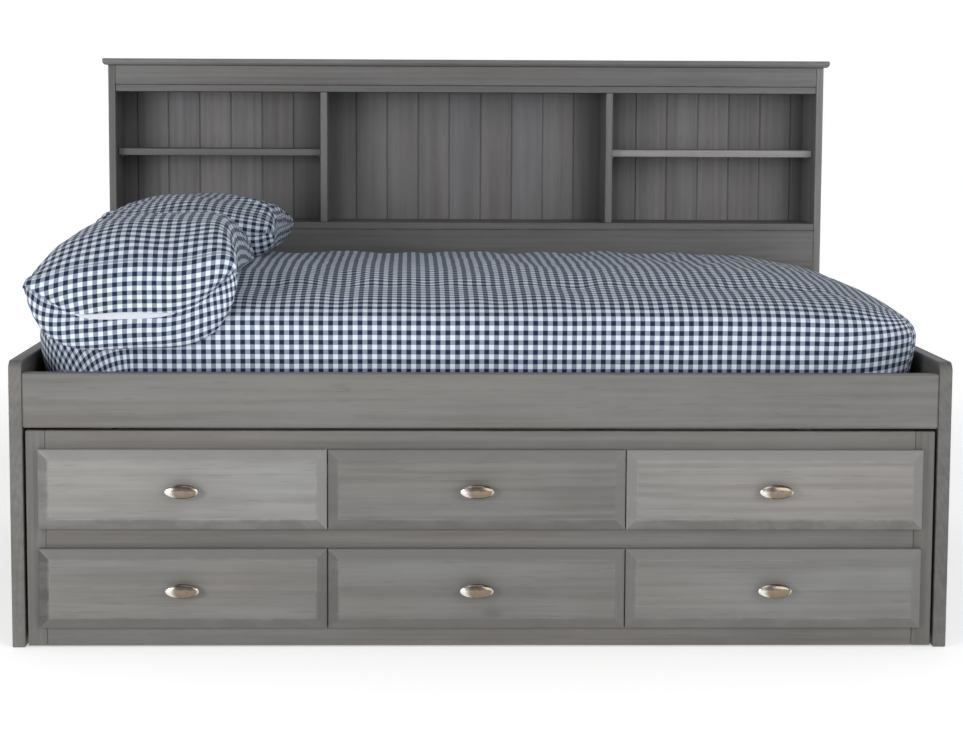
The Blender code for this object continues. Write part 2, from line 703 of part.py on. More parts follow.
def caster_bracket(name, centre, material):
    """A folded fork over the wheel, its outer cheek on the side board."""
    x, y, z = centre
    inner = WHEEL_WIDTH / 2 + WHEEL_GAP
    outer = inner + FORK_T
    bottom = WHEEL_RADIUS - 3 * AXLE_RADIUS
    half = FORK_LENGTH / 2
    low = (x - outer, y - half, bottom)
    high = (x + outer, y + half, FORK_TOP)
    bracket = place(name, to_mesh(name, block_bmesh(low, high)), material)
    slot_low = (x - inner, y - FORK_LENGTH, bottom - FORK_T)
    slot_high = (x + inner, y + FORK_LENGTH, FORK_TOP - FORK_T)
    join_solid(bracket, guide_block(name + "_slot", slot_low, slot_high), "DIFFERENCE")
    hole = guide_rod(name + "_hole", (x, y, z), AXLE_RADIUS + AXLE_GAP, 4 * outer)
    return join_solid(bracket, hole, "DIFFERENCE")


def casters(metal, rubber):
    reach = WHEEL_WIDTH / 2 + WHEEL_GAP + FORK_T
    across = UNIT_HALF - UNIT_SIDE_T - TOUCH - reach
    places = (
        ("front", Y_UNIT_INSIDE + CASTER_INSET),
        ("rear", Y_UNIT_BACK - BOARD_T - CASTER_INSET),
    )
    for row, y in places:
        for name, side in (("left", -1), ("right", 1)):
            centre = (side * across, y, WHEEL_RADIUS)
            caster_bracket("caster_bracket_%s_%s" % (row, name), centre, metal)
            caster_wheel("caster_wheel_%s_%s" % (row, name), centre, rubber)


# ---- Mattress and pillows ---------------------------------------------------------------
def soft_block(name, low, high, radius, material):
    thing = place(name, to_mesh(name, block_bmesh(low, high)), material)
    return soften(thing, radius, 3)


def soft_goods(cloth):
    half = MATTRESS_LENGTH / 2
    front = Y_FRONT + PANEL_T + MATTRESS_FRONT_GAP
    soft_block(
        "mattress",
        (-half, front, MATTRESS_BOTTOM),
        (half, front + MATTRESS_WIDTH, MATTRESS_TOP),
        MATTRESS_ROUND,
        cloth,
    )
    left = -BED_WIDTH / 2 + PILLOW_LEFT
    low = MATTRESS_TOP + PILLOW_LIFT
    start = Y_FRONT + PILLOW_FRONT
    for name in ("front_pillow", "rear_pillow"):
        end = start + PILLOW_LENGTH
        soft_block(
            name,
            (left, start, low),
            (left + PILLOW_WIDTH, end, low + PILLOW_HEIGHT),
            PILLOW_ROUND,
            cloth,
        )
        start = end + PILLOW_GAP


def main():
    clear_scene()
    for collection in (BED, CUTTERS):
        bpy.context.scene.collection.children.link(collection)
    wood = finish("grey_stained_pine", (0.20, 0.20, 0.20), 0.5)
    slat_wood = finish("plain_pine", (0.62, 0.46, 0.29), 0.6)
    metal = finish("satin_nickel", (0.62, 0.60, 0.57), 0.28, 1.0)
    rubber = finish("grey_rubber", (0.05, 0.05, 0.05), 0.7)
    cloth = finish("checked_cotton", (0.28, 0.32, 0.42), 0.9)
    bed_frame(wood, slat_wood)
    bookcase(wood)
    face_frame(wood)
    trundle_case(wood, slat_wood)
    false_fronts(wood)
    for column, name in enumerate(COLUMN_NAMES):
        drawer(column, name, wood, slat_wood)
    knobs(metal)
    casters(metal, rubber)
    soft_goods(cloth)


main()
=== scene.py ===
"""Finishes, bedding and small hardware for a grey-stained bookcase daybed with a rolling trundle.

The boards are the fixed frame's own solids. This file gives each one its stained pine, and
makes the pieces that need a finer surface: raised fronts, oval knobs, casters, the crown,
the mattress in its fitted sheet, two pillows in checked cases, pins and screws.
"""

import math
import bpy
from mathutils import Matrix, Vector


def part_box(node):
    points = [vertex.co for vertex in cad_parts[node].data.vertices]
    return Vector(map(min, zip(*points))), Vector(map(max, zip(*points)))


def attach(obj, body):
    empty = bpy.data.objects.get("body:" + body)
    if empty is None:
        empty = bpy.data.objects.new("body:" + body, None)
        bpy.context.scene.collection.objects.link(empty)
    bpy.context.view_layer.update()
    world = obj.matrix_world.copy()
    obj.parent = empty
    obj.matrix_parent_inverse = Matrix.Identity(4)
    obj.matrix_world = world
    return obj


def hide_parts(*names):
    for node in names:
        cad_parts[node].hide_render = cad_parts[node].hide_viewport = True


bl_info = {
    "name": "Bookcase Daybed Finishes",
    "version": (1, 0, 0),
    "blender": (4, 5, 0),
    "location": "View3D > Sidebar > Daybed",
    "description": "Stained pine, checked bedding and hardware for a bookcase daybed",
    "category": "Object",
}

import bpy
import numpy as np
from mathutils import Matrix, Vector

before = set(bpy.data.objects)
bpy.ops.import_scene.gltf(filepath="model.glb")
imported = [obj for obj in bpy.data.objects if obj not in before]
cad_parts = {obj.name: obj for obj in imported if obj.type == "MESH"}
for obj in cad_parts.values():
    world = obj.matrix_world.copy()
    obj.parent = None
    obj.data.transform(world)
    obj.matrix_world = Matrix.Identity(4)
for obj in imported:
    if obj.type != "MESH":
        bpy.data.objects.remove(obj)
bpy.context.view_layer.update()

X, Y, Z = 0, 1, 2
COLUMNS = ("left", "middle", "right")
CORNERS = ("front_left", "front_right", "rear_left", "rear_right")
Y_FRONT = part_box("left_end_panel")[0].y  # the end panels' front edges
MATTRESS_LOW, MATTRESS_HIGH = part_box("mattress")


# ---- Settings ---------------------------------------------------------------------------
def colour(name, default, description):
    """A colour that a user may change, as linear light."""
    return bpy.props.FloatVectorProperty(
        name=name, description=description, subtype="COLOR", default=default, min=0.0, max=1.0
    )


class DaybedWood(bpy.types.PropertyGroup):
    """Stain colours, as linear light."""

    case_stain: colour("Bookcase stain", (0.139, 0.137, 0.136), "Colour of the bookcase boards")
    rail_stain: colour("Bed stain", (0.137, 0.133, 0.128), "Colour of the end panels and the front rail")
    unit_stain: colour("Trundle stain", (0.126, 0.121, 0.115), "Colour of the trundle's face frame")
    front_stain: colour("Front stain", (0.166, 0.162, 0.156), "Colour of the drawer fronts and false fronts")
    pine: colour("Bare pine", (0.60, 0.44, 0.27), "Colour of the slats and drawer boxes")


class DaybedCloth(bpy.types.PropertyGroup):
    """Checked cotton of the sheet and the pillow cases."""

    check_pitch: bpy.props.FloatProperty(
        name="Check pitch",
        description="One dark and one light stripe together",
        default=0.0211,
        min=0.004,
        max=0.2,
        unit="LENGTH",
    )
    white: colour("White yarn", (0.665, 0.71, 0.775), "Colour where two white stripes cross")
    mid: colour("Mixed yarn", (0.220, 0.262, 0.345), "Colour where a white and a navy stripe cross")
    navy: colour("Navy yarn", (0.012, 0.021, 0.048), "Colour where two navy stripes cross")


class DaybedStage(bpy.types.PropertyGroup):
    """Camera and light."""

    lens: bpy.props.FloatProperty(
        name="Lens",
        description="Focal length on a 36 mm wide sensor",
        default=83.14,
        min=10.0,
        max=300.0,
    )
    light: bpy.props.FloatProperty(
        name="Light",
        description="Strength of the studio lamps together",
        default=1.0,
        min=0.0,
        max=10.0,
    )


# ---- Node helper ------------------------------------------------------------------------
class Shader:
    """A Principled material with short calls for making and joining its nodes."""

    def __init__(self, name, roughness=0.5, metallic=0.0):
        self.material = bpy.data.materials.new(name)
        self.material.use_nodes = True
        self.tree = self.material.node_tree
        self.surface = self.tree.nodes["Principled BSDF"]
        self.surface.inputs["Roughness"].default_value = roughness
        self.surface.inputs["Metallic"].default_value = metallic

    def place(self):
        """The point on the piece, in metres."""
        return self.node("TexCoord", output="Object")

    def finish(self, **inputs):
        """The surface gets its inputs, named as its sockets, with _ for a space."""
        for key, value in inputs.items():
            self.put(self.surface.inputs[key.replace("_", " ")], value)
        return self.material

    def put(self, socket, value):
        """A socket gets a link or a constant."""
        if isinstance(value, bpy.types.NodeSocket):
            self.tree.links.new(value, socket)
        elif value is not None:
            socket.default_value = value

    def node(self, kind, output=0, settings=None, **inputs):
        """A node; inputs are named as its sockets, with _ for a space."""
        made = self.tree.nodes.new("ShaderNode" + kind)
        for key, value in (settings or {}).items():
            setattr(made, key, value)
        for key, value in inputs.items():
            self.put(made.inputs[key.replace("_", " ")], value)
        return made.outputs[output]

    def math(self, operation, *values):
        made = self.tree.nodes.new("ShaderNodeMath")
        made.operation = operation
        for socket, value in zip(made.inputs, values):
            self.put(socket, value)
        return made.outputs[0]

    def vector(self, operation, *values):
        made = self.tree.nodes.new("ShaderNodeVectorMath")
        made.operation = operation
        for socket, value in zip(made.inputs, values):
            self.put(socket, value)
        return made.outputs["Value" if operation in ("LENGTH", "DOT_PRODUCT") else "Vector"]

    def split(self, value):
        """The three parts of a vector."""
        made = self.tree.nodes.new("ShaderNodeSeparateXYZ")
        self.put(made.inputs[0], value)
        return made.outputs

    def ramp(self, value, low, high, start=0.0, end=1.0):
        """A smooth step from start to end as value goes from low to high."""
        made = self.tree.nodes.new("ShaderNodeMapRange")
        made.interpolation_type = "SMOOTHSTEP"
        for socket, item in zip(made.inputs, (value, low, high, start, end)):
            self.put(socket, item)
        return made.outputs[0]

    def mix(self, share, first, second, blend="MIX"):
        made = self.tree.nodes.new("ShaderNodeMix")
        made.data_type = "RGBA"
        made.blend_type = blend
        self.put(made.inputs[0], share)
        self.put(made.inputs[6], rgba(first))
        self.put(made.inputs[7], rgba(second))
        return made.outputs[2]

    def noise(self, place, scale, detail=3.0, roughness=0.5, distortion=0.0):
        return self.node(
            "TexNoise",
            Vector=place,
            Scale=scale,
            Detail=detail,
            Roughness=roughness,
            Distortion=distortion,
        )

    def mapped(self, place, scale=(1, 1, 1), location=(0, 0, 0), rotation=(0, 0, 0)):
        return self.node(
            "Mapping", Vector=place, Scale=scale, Location=location, Rotation=rotation
        )

    def bump(self, height, strength, distance, normal=None):
        return self.node(
            "Bump", Height=height, Strength=strength, Distance=distance, Normal=normal
        )


class WorldShader(Shader):
    """The same calls for the world's nodes."""

    def __init__(self, world):
        self.tree = world.node_tree


def rgba(value):
    """A colour with its alpha; a socket stays as it is."""
    if isinstance(value, bpy.types.NodeSocket) or len(value) == 4:
        return value
    return (*value, 1.0)


def tinted(color, factor):
    return tuple(min(1.0, part * factor) for part in color)


# ---- Wood -------------------------------------------------------------------------------
FIBRE_ACROSS = 520.0
FIBRE_ALONG = 7.0
STREAK_ACROSS = 46.0
STREAK_ALONG = 1.1
RING_SCALE = 26.0
EDGE_WIDTH = 0.0034
WARM = (1.025, 0.998, 0.972)
COOL = (0.985, 1.002, 1.004)


def edge_distance(made, place, low, high):
    """Distance from a point on a box's surface to the box's nearest edge: the second
    smallest of its distances to the faces along X, Y and Z."""
    to_low = made.vector("SUBTRACT", place, low)
    to_high = made.vector("SUBTRACT", high, place)
    across, deep, tall = made.split(made.vector("MINIMUM", to_low, to_high))
    first = made.math("MAXIMUM", across, deep)
    second = made.math("MAXIMUM", deep, tall)
    third = made.math("MAXIMUM", across, tall)
    return made.math("MINIMUM", made.math("MINIMUM", first, second), third)


def stretched(grain, along, across):
    scale = [across] * 3
    scale[grain] = along
    return tuple(scale)


def pine_grain(made, place, grain, seed):
    """Soft streaks, fine fibres, growth rings cut by the board's face, and cloudy blotches,
    each 0 to 1."""
    draw = np.random.default_rng(seed)
    shift = tuple(draw.uniform(-4.0, 4.0, 3))
    moved = made.vector("ADD", place, shift)
    streak_place = made.mapped(moved, stretched(grain, STREAK_ALONG, STREAK_ACROSS))
    streaks = made.noise(streak_place, 1.0, 6.0, 0.60, 0.30)
    fibre_place = made.mapped(moved, stretched(grain, FIBRE_ALONG, FIBRE_ACROSS))
    fibres = made.noise(fibre_place, 1.0, 2.0, 0.5)
    pith = draw.uniform(0.05, 0.16, 3) * draw.choice((-1.0, 1.0), 3)
    squeezed = made.mapped(place, stretched(grain, 0.30, 1.0), tuple(pith))
    rings = made.node(
        "TexWave",
        output=1,
        settings={"wave_type": "RINGS", "rings_direction": "XYZ"[grain], "wave_profile": "SIN"},
        Vector=squeezed,
        Scale=RING_SCALE,
        Distortion=3.2,
        Detail=2.5,
        Detail_Scale=0.30,
        Detail_Roughness=0.55,
    )
    blotches = made.noise(made.mapped(moved, stretched(grain, 2.6, 7.0)), 1.0, 3.5, 0.58)
    return streaks, fibres, rings, blotches


def pine_knots(made, place, grain, seed, share):
    """A few small oval knots: Voronoi cells, most of them left out by their random value."""
    stretch = made.mapped(place, stretched(grain, 2.2, 3.6), (seed * 1.37, seed * 0.71, 0.3))
    cells = made.tree.nodes.new("ShaderNodeTexVoronoi")
    made.put(cells.inputs["Vector"], stretch)
    made.put(cells.inputs["Scale"], 1.0)
    made.put(cells.inputs["Randomness"], 0.9)
    near = made.ramp(cells.outputs["Distance"], 0.012, 0.075, 1.0, 0.0)
    picked = made.math("LESS_THAN", made.node("SeparateColor", Color=cells.outputs["Color"]), share)
    return made.math("MULTIPLY", near, picked)


def bevel_stain_and_painted_light(made, place, low, high, bevel, color, stain, sides):
    """Stain and painted light on a raised front's bevel. The left and right bevels cut across the grain and
    take more stain than the long edges. Each bevel keeps its own share of colour, given for the left, right,
    top and bottom bevel, and that share also holds painted shade: the bottom bevel is darkened as shade, and
    the left and right ones differ by painted shade as well as by stain. A lighter line painted where the
    bevel meets the field is a painted highlight."""
    from_low = made.split(made.vector("SUBTRACT", place, low))
    from_high = made.split(made.vector("SUBTRACT", high, place))
    runs = (from_low[X], from_high[X], from_high[Z], from_low[Z])
    aside = made.math("MINIMUM", *runs[:2])
    nearest = made.math("MINIMUM", aside, made.math("MINIMUM", *runs[2:]))
    blot = made.noise(made.mapped(place, (14.0, 1.0, 30.0)), 1.0, 5.0, 0.66)
    reach = made.math("MULTIPLY_ADD", blot, 0.012, bevel - 0.003)
    # stain and painted shade: each bevel is darkened to its own share, the bottom one as shade
    for run, share in zip(runs, sides):
        own = made.math("LESS_THAN", run, made.math("ADD", nearest, 0.0006))
        inner = made.math("SUBTRACT", reach, 0.010)
        slope = made.math("MULTIPLY", made.ramp(run, inner, reach, 1.0, 0.0), own)
        streak = made.ramp(blot, 0.36, 0.64, 0.70, 1.10)
        color = made.mix(made.math("MULTIPLY", slope, streak), color, tinted(stain, share))
    rise = made.math("ABSOLUTE", made.math("SUBTRACT", nearest, bevel))
    patchy = made.ramp(made.noise(place, 19.0, 3.0), 0.42, 0.62)
    # painted highlight: a lighter line where the bevel meets the field, broken up by noise
    painted_ridge_highlight = made.math("MULTIPLY", made.ramp(rise, 0.0, 0.0024, 0.34, 0.0), patchy)
    color = made.mix(painted_ridge_highlight, color, tinted(stain, 1.5))
    return color


def painted_corner_shade(made, place, planes, middle):
    """Painted shade in inside corners, where the back meets the boards that stand against it: share of light
    left at a distance d along X from the nearest of the planes, ramp(d, 0 to 0.085 m, 0.50 to 1), on the face
    in front of middle along Y."""
    across, deep, tall = made.split(place)
    nearest = 9.0
    for plane in planes:
        away = made.math("ABSOLUTE", made.math("SUBTRACT", across, plane))
        nearest = made.math("MINIMUM", away, nearest)
    behind = made.math("GREATER_THAN", deep, middle)
    return made.math("MAXIMUM", made.ramp(nearest, 0.0, 0.085, 0.50, 1.0), behind)


def stained_pine(
    name, box, grain, stain, seed, knots=0.12, worn=0.5, bevel=0.0, sides=None, planks=0.0, corners=()
):
    """Grey-stained pine for one board. bevel is the width of a raised front's bevel, sides its four shares of
    stain and painted shade, planks the pitch of upright planks that each have their own tone, and corners the
    planes along X of boards that stand against it, near which painted shade darkens the face. worn sets the
    strength of a painted highlight along the board's edges."""
    made = Shader(name, 0.5)
    place = made.place()
    low = tuple(box[0])
    high = tuple(box[1])
    tone = stain
    grain_place = place
    if planks:
        count = made.math("DIVIDE", made.split(place)[X], planks)
        index = made.math("FLOOR", made.math("ADD", count, 0.5))
        lift = made.node("CombineXYZ", Z=made.math("MULTIPLY", index, 3.7))
        grain_place = made.vector("ADD", place, lift)
        own = made.tree.nodes.new("ShaderNodeTexWhiteNoise")
        own.noise_dimensions = "1D"
        made.put(own.inputs["W"], index)
        tone = made.mix(own.outputs["Value"], tinted(stain, 0.90), tinted(stain, 1.10))
    streaks, fibres, rings, blotches = pine_grain(made, grain_place, grain, seed)
    soft = made.math("MULTIPLY_ADD", streaks, 0.60, made.math("MULTIPLY", blotches, 0.42))
    figure = made.math("MULTIPLY_ADD", rings, 0.075, soft)
    value = made.math("MULTIPLY_ADD", fibres, 0.16, figure)
    depth = made.ramp(value, 0.40, 0.84)
    dark = made.mix(1.0, tone, (0.80, 0.795, 0.79), "MULTIPLY")
    light = made.mix(1.0, tone, (1.20, 1.205, 1.21), "MULTIPLY")
    color = made.mix(depth, dark, light)
    hue_place = made.mapped(grain_place, stretched(grain, 1.1, 5.0), (seed * 0.9, 2.0, seed * 0.4))
    hue = made.ramp(made.noise(hue_place, 1.0, 2.0), 0.38, 0.62)
    color = made.mix(0.9, color, made.mix(hue, WARM, COOL), "MULTIPLY")
    dash_place = made.mapped(grain_place, stretched(grain, 15.0, 210.0), (0.0, seed * 1.1, seed * 2.3))
    dashes = made.ramp(made.noise(dash_place, 1.0, 1.0, 0.4), 0.62, 0.74, 0.0, 0.30)
    color = made.mix(dashes, color, tinted(stain, 0.62))
    # painted shade: the face is darkened near the boards that stand against it
    if corners:
        shade = painted_corner_shade(made, place, corners, (low[Y] + high[Y]) / 2)
        color = made.mix(1.0, color, shade, "MULTIPLY")
    if knots:
        spots = pine_knots(made, place, grain, seed, knots)
        color = made.mix(made.math("MULTIPLY", spots, 0.42), color, tinted(stain, 0.5))
    edge = edge_distance(made, place, low, high)
    patchy = made.ramp(made.noise(place, 26.0, 3.0), 0.38, 0.66)
    if bevel:
        color = bevel_stain_and_painted_light(made, place, low, high, bevel, color, stain, sides)
    # painted highlight: the board's edges are painted lighter, broken up by noise, as strongly as worn asks
    edge_highlight = made.math("MULTIPLY", made.ramp(edge, 0.0004, EDGE_WIDTH, 1.0, 0.0), patchy)
    color = made.mix(made.math("MULTIPLY", edge_highlight, worn), color, tinted(stain, 1.55))
    rough = made.ramp(streaks, 0.25, 0.75, 0.60, 0.46)
    height = made.math("MULTIPLY_ADD", fibres, 0.6, made.math("MULTIPLY", streaks, 1.2))
    return made.finish(Base_Color=color, Roughness=rough, Normal=made.bump(height, 0.30, 0.0005))


def bare_pine(name, color, grain, seed):
    """Planed pine without a finish: yellow between darker late-wood lines."""
    made = Shader(name, 0.62)
    place = made.place()
    streaks, fibres, rings, blotches = pine_grain(made, place, grain, seed)
    value = made.math("MULTIPLY_ADD", rings, 0.34, made.math("MULTIPLY", streaks, 0.55))
    value = made.math("MULTIPLY_ADD", fibres, 0.14, value)
    depth = made.ramp(value, 0.20, 0.85)
    tone = made.mix(depth, tinted(color, 0.66), tinted(color, 1.18))
    tone = made.mix(made.math("MULTIPLY", blotches, 0.4), tone, tinted(color, 0.8))
    spots = pine_knots(made, place, grain, seed, 0.10)
    tone = made.mix(made.math("MULTIPLY", spots, 0.75), tone, (0.16, 0.07, 0.03))
    return made.finish(Base_Color=tone, Normal=made.bump(fibres, 0.3, 0.0005))


# ---- Metal, rubber and cloth ------------------------------------------------------------
def satin_nickel():
    """Brushed plate, warm in its tone, with fine scratches along X, and a painted highlight: the colour is
    painted bright at both ends, most where the surface turns to the left, in place of the lamps' reflections."""
    made = Shader("satin_nickel", 0.18, 1.0)
    place = made.place()
    brushed = made.noise(made.mapped(place, (60.0, 900.0, 900.0)), 1.0, 2.0)
    worn = made.noise(place, 140.0, 3.0)
    tone = made.mix(worn, (0.19, 0.152, 0.108), (0.29, 0.240, 0.180))
    # painted highlight: bright colour where the normal turns to the left, and less where it turns to the
    # right
    painted_highlight_facing = made.split(made.node("NewGeometry", output="Normal"))[X]
    left = made.ramp(painted_highlight_facing, -0.22, -0.06, 0.95, 0.0)
    right = made.ramp(painted_highlight_facing, 0.30, 0.50, 0.0, 0.7)
    tone = made.mix(made.math("MAXIMUM", left, right), tone, (0.88, 0.84, 0.79))
    rough = made.ramp(brushed, 0.3, 0.7, 0.16, 0.26)
    return made.finish(Base_Color=tone, Roughness=rough, Normal=made.bump(brushed, 0.08, 0.0002))


def zinc_plate(name="zinc_plate"):
    """Pressed steel with a spangled zinc skin."""
    made = Shader(name, 0.38, 1.0)
    place = made.place()
    cells = made.tree.nodes.new("ShaderNodeTexVoronoi")
    made.put(cells.inputs["Vector"], place)
    made.put(cells.inputs["Scale"], 180.0)
    spangle = made.node("SeparateColor", Color=cells.outputs["Color"])
    tone = made.mix(spangle, (0.26, 0.27, 0.28), (0.42, 0.43, 0.45))
    return made.finish(Base_Color=tone, Roughness=made.ramp(made.noise(place, 90.0), 0.3, 0.7, 0.3, 0.5))


def grey_rubber():
    """Matt tyre rubber with dust in its grain."""
    made = Shader("grey_rubber", 0.78)
    place = made.place()
    dust = made.ramp(made.noise(place, 70.0, 4.0, 0.6), 0.45, 0.75)
    tone = made.mix(dust, (0.035, 0.036, 0.038), (0.11, 0.105, 0.10))
    return made.finish(Base_Color=tone, Normal=made.bump(made.noise(place, 900.0, 2.0), 0.2, 0.0002))


def nylon_hub():
    """Moulded grey nylon with a faint grain."""
    made = Shader("nylon_hub", 0.45)
    place = made.place()
    tone = made.mix(made.noise(place, 60.0), (0.22, 0.22, 0.23), (0.30, 0.30, 0.31))
    return made.finish(Base_Color=tone, Normal=made.bump(made.noise(place, 700.0), 0.15, 0.0002))


def gingham(name, cloth, crease_shade=False):
    """Plain-weave check on the piece's own UV, in metres: stripes half the pitch wide both
    ways, mixed where one navy stripe crosses a white one, with single threads in the bump.
    When asked, a dark line is painted across the piece where v is 0: painted shade in a crease."""
    made = Shader(name, 0.86)
    made.surface.inputs["Sheen Weight"].default_value = 0.04
    made.surface.inputs["Sheen Roughness"].default_value = 0.5
    made.surface.inputs["Specular IOR Level"].default_value = 0.15
    place = made.node("UVMap")
    half = cloth.check_pitch / 2
    bands = []
    for socket in made.split(place)[:2]:
        swing = made.math("DIVIDE", made.math("PINGPONG", socket, half), half)
        bands.append(made.ramp(swing, 0.46, 0.54))
    either = made.math("MAXIMUM", *bands)
    both = made.math("MULTIPLY", *bands)
    fade = made.noise(made.mapped(place, (9.0, 9.0, 1.0)), 1.0, 4.0, 0.6)
    white = made.mix(fade, tinted(cloth.white, 0.95), tinted(cloth.white, 1.03))
    mid = made.mix(fade, tinted(cloth.mid, 0.88), tinted(cloth.mid, 1.12))
    color = made.mix(either, white, mid)
    color = made.mix(both, color, tuple(cloth.navy))
    threads = []
    for direction in ("X", "Y"):
        wave = made.node(
            "TexWave",
            output=1,
            settings={"wave_type": "BANDS", "bands_direction": direction},
            Vector=place,
            Scale=300.0,
            Distortion=0.6,
            Detail=1.0,
        )
        threads.append(wave)
    weave = made.math("ADD", *threads)
    thread = made.mix(weave, (0.75, 0.75, 0.75), (1.0, 1.0, 1.0))
    color = made.mix(0.10, color, thread, "MULTIPLY")
    # painted shade: a dark line where the case is creased
    if crease_shade:
        away = made.math("ABSOLUTE", made.split(place)[Y])
        wander = made.noise(made.mapped(place, (9.0, 1.0, 1.0)), 1.0, 3.0)
        line = made.ramp(away, 0.0010, 0.0048, 1.0, 0.0)
        painted_crease_shade = made.math("MULTIPLY", line, made.ramp(wander, 0.30, 0.55))
        color = made.mix(made.math("MULTIPLY", painted_crease_shade, 0.55), color, tinted(cloth.mid, 0.30))
    slub = made.noise(made.mapped(place, (500.0, 500.0, 1.0)), 1.0, 2.0)
    creased = made.noise(made.mapped(place, (26.0, 26.0, 1.0)), 1.0, 3.0, 0.55, 0.5)
    fine = made.bump(made.math("ADD", weave, slub), 0.25, 0.0004)
    return made.finish(Base_Color=color, Normal=made.bump(creased, 0.30, 0.004, fine))


def plain_cotton(name, color):
    """Pale plain weave for a hem."""
    made = Shader(name, 0.9)
    made.surface.inputs["Sheen Weight"].default_value = 0.2
    place = made.place()
    tone = made.mix(made.noise(place, 300.0, 3.0), tinted(color, 0.82), tinted(color, 1.05))
    return made.finish(Base_Color=tone, Normal=made.bump(made.noise(place, 1500.0), 0.3, 0.0004))


def ticking():
    """Cream damask over padding, quilted in waves 60 mm apart."""
    made = Shader("mattress_ticking", 0.85)
    made.surface.inputs["Sheen Weight"].default_value = 0.2
    place = made.place()
    quilt = made.node(
        "TexWave",
        output=1,
        settings={"wave_type": "BANDS", "bands_direction": "DIAGONAL"},
        Vector=place,
        Scale=5.0,
        Distortion=1.5,
    )
    tone = made.mix(made.noise(place, 120.0), (0.66, 0.63, 0.57), (0.80, 0.78, 0.73))
    fine = made.bump(made.noise(place, 700.0), 0.2, 0.0004)
    return made.finish(Base_Color=tone, Normal=made.bump(quilt, 0.5, 0.004, fine))


# ---- Meshes from arrays -----------------------------------------------------------------
def grid_faces(rows, columns, wrap_rows=False, wrap_columns=False, start=0):
    """Quads of a grid of points stored row by row, closed round either way if asked."""
    row = np.arange(rows if wrap_rows else rows - 1)
    column = np.arange(columns if wrap_columns else columns - 1)
    r, c = np.meshgrid(row, column, indexing="ij")
    r_next = (r + 1) % rows
    c_next = (c + 1) % columns
    quads = [r * columns + c, r * columns + c_next, r_next * columns + c_next, r_next * columns + c]
    return (np.stack(quads, axis=-1).reshape(-1, 4) + start).tolist()


def grid_rim(rows, columns):
    """The (row, column) pairs round a grid's edge, in order."""
    rim = [(i, 0) for i in range(rows)] + [(rows - 1, j) for j in range(1, columns)]
    rim += [(i, columns - 1) for i in range(rows - 2, -1, -1)]
    return rim + [(0, j) for j in range(columns - 2, 0, -1)]


def piece(name, points, faces, material, body, smooth=True, sharp=None):
    """A mesh object from arrays, riding on a body. Edges that turn by more than sharp
    degrees stay sharp."""
    mesh = bpy.data.meshes.new(name)
    mesh.from_pydata(np.asarray(points, float).reshape(-1, 3).tolist(), [], faces)
    mesh.materials.append(material)
    mesh.validate()
    mesh.update()
    if smooth:
        mesh.shade_smooth()
    if sharp:
        mesh.set_sharp_from_angle(angle=math.radians(sharp))
    made = bpy.data.objects.new(name, mesh)
    bpy.context.scene.collection.objects.link(made)
    if body:
        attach(made, body)
    return made


def outward(points, faces):
    """The faces, all turned round if the volume they bound comes out negative."""
    flat = np.asarray(points, float).reshape(-1, 3)
    total = 0.0
    for count in {len(face) for face in faces}:
        same = np.array([face for face in faces if len(face) == count])
        for step in range(1, count - 1):
            a, b, c = flat[same[:, 0]], flat[same[:, step]], flat[same[:, step + 1]]
            total += np.einsum("ij,ij->", a, np.cross(b, c))
    if total < 0:
        return [face[::-1] for face in faces]
    return faces


def turned(profile, turns, axis, centre):
    """A closed turned shape. profile is (distance along axis, radius) from end to end with
    both ends on the axis. Points are centre + along * axis + radius * (cos, sin) in the
    other two directions."""
    along, radius = np.array(profile, float).T
    angle = np.linspace(0.0, 2 * math.pi, turns, endpoint=False)
    points = np.zeros((len(along), turns, 3))
    others = [index for index in (X, Y, Z) if index != axis]
    points[..., axis] = along[:, None]
    points[..., others[0]] = radius[:, None] * np.cos(angle)
    points[..., others[1]] = radius[:, None] * np.sin(angle)
    points = points[1:-1]
    rows = len(along) - 2
    flat = points.reshape(-1, 3)
    tips = np.zeros((2, 3))
    tips[:, axis] = along[[0, -1]]
    flat = np.vstack((flat, tips)) + np.array(centre, float)
    faces = grid_faces(rows, turns, wrap_columns=True)
    first = rows * turns
    for index in range(turns):
        after = (index + 1) % turns
        faces.append([first, after, index])
        last = (rows - 1) * turns
        faces.append([first + 1, last + index, last + after])
    return flat, outward(flat, faces)


def arc(centre, radius, start, end, count):
    """Points on a circle's arc, angles in degrees."""
    angle = np.radians(np.linspace(start, end, count))
    x = centre[0] + radius * np.cos(angle)
    y = centre[1] + radius * np.sin(angle)
    return list(zip(x.tolist(), y.tolist()))


# ---- Woodwork ---------------------------------------------------------------------------
PLANK_PITCH = 0.0889
PLANK_TINT = (1.19, 1.175, 1.225)  # the back's planks against the case's stain


def board_finishes(wood):
    """Grain direction and stain for every board that keeps its own solid."""
    case = tuple(wood.case_stain)
    rail = tuple(wood.rail_stain)
    unit = tuple(wood.unit_stain)
    return {
        "left_end_panel": (Y, tinted(rail, 0.90)),
        "right_end_panel": (Y, tinted(rail, 0.76)),
        "front_rail": (X, rail),
        "rear_rail": (X, tinted(rail, 0.9)),
        "bookcase_left_side": (Z, tinted(case, 0.80)),
        "bookcase_right_side": (Z, tinted(case, 1.38)),
        "bookcase_fascia": (X, tinted(case, 0.92)),
        "bookcase_top_board": (X, tinted(case, 0.82)),
        "bookcase_bottom_shelf": (X, case),
        "bookcase_apron": (X, tinted(case, 0.92)),
        "bookcase_left_divider": (Z, tinted(case, 1.05)),
        "bookcase_right_divider": (Z, tinted(case, 1.05)),
        "bookcase_left_shelf": (X, tinted(case, 0.92)),
        "bookcase_right_shelf": (X, tinted(case, 2.25)),
        "trundle_left_stile": (Z, unit),
        "trundle_right_stile": (Z, tinted(unit, 0.76)),
        "trundle_top_rail": (X, unit),
        "trundle_middle_rail": (X, unit),
        "trundle_bottom_rail": (X, unit),
        "trundle_left_side": (Y, unit),
        "trundle_right_side": (Y, unit),
        "trundle_back": (X, unit),
    }


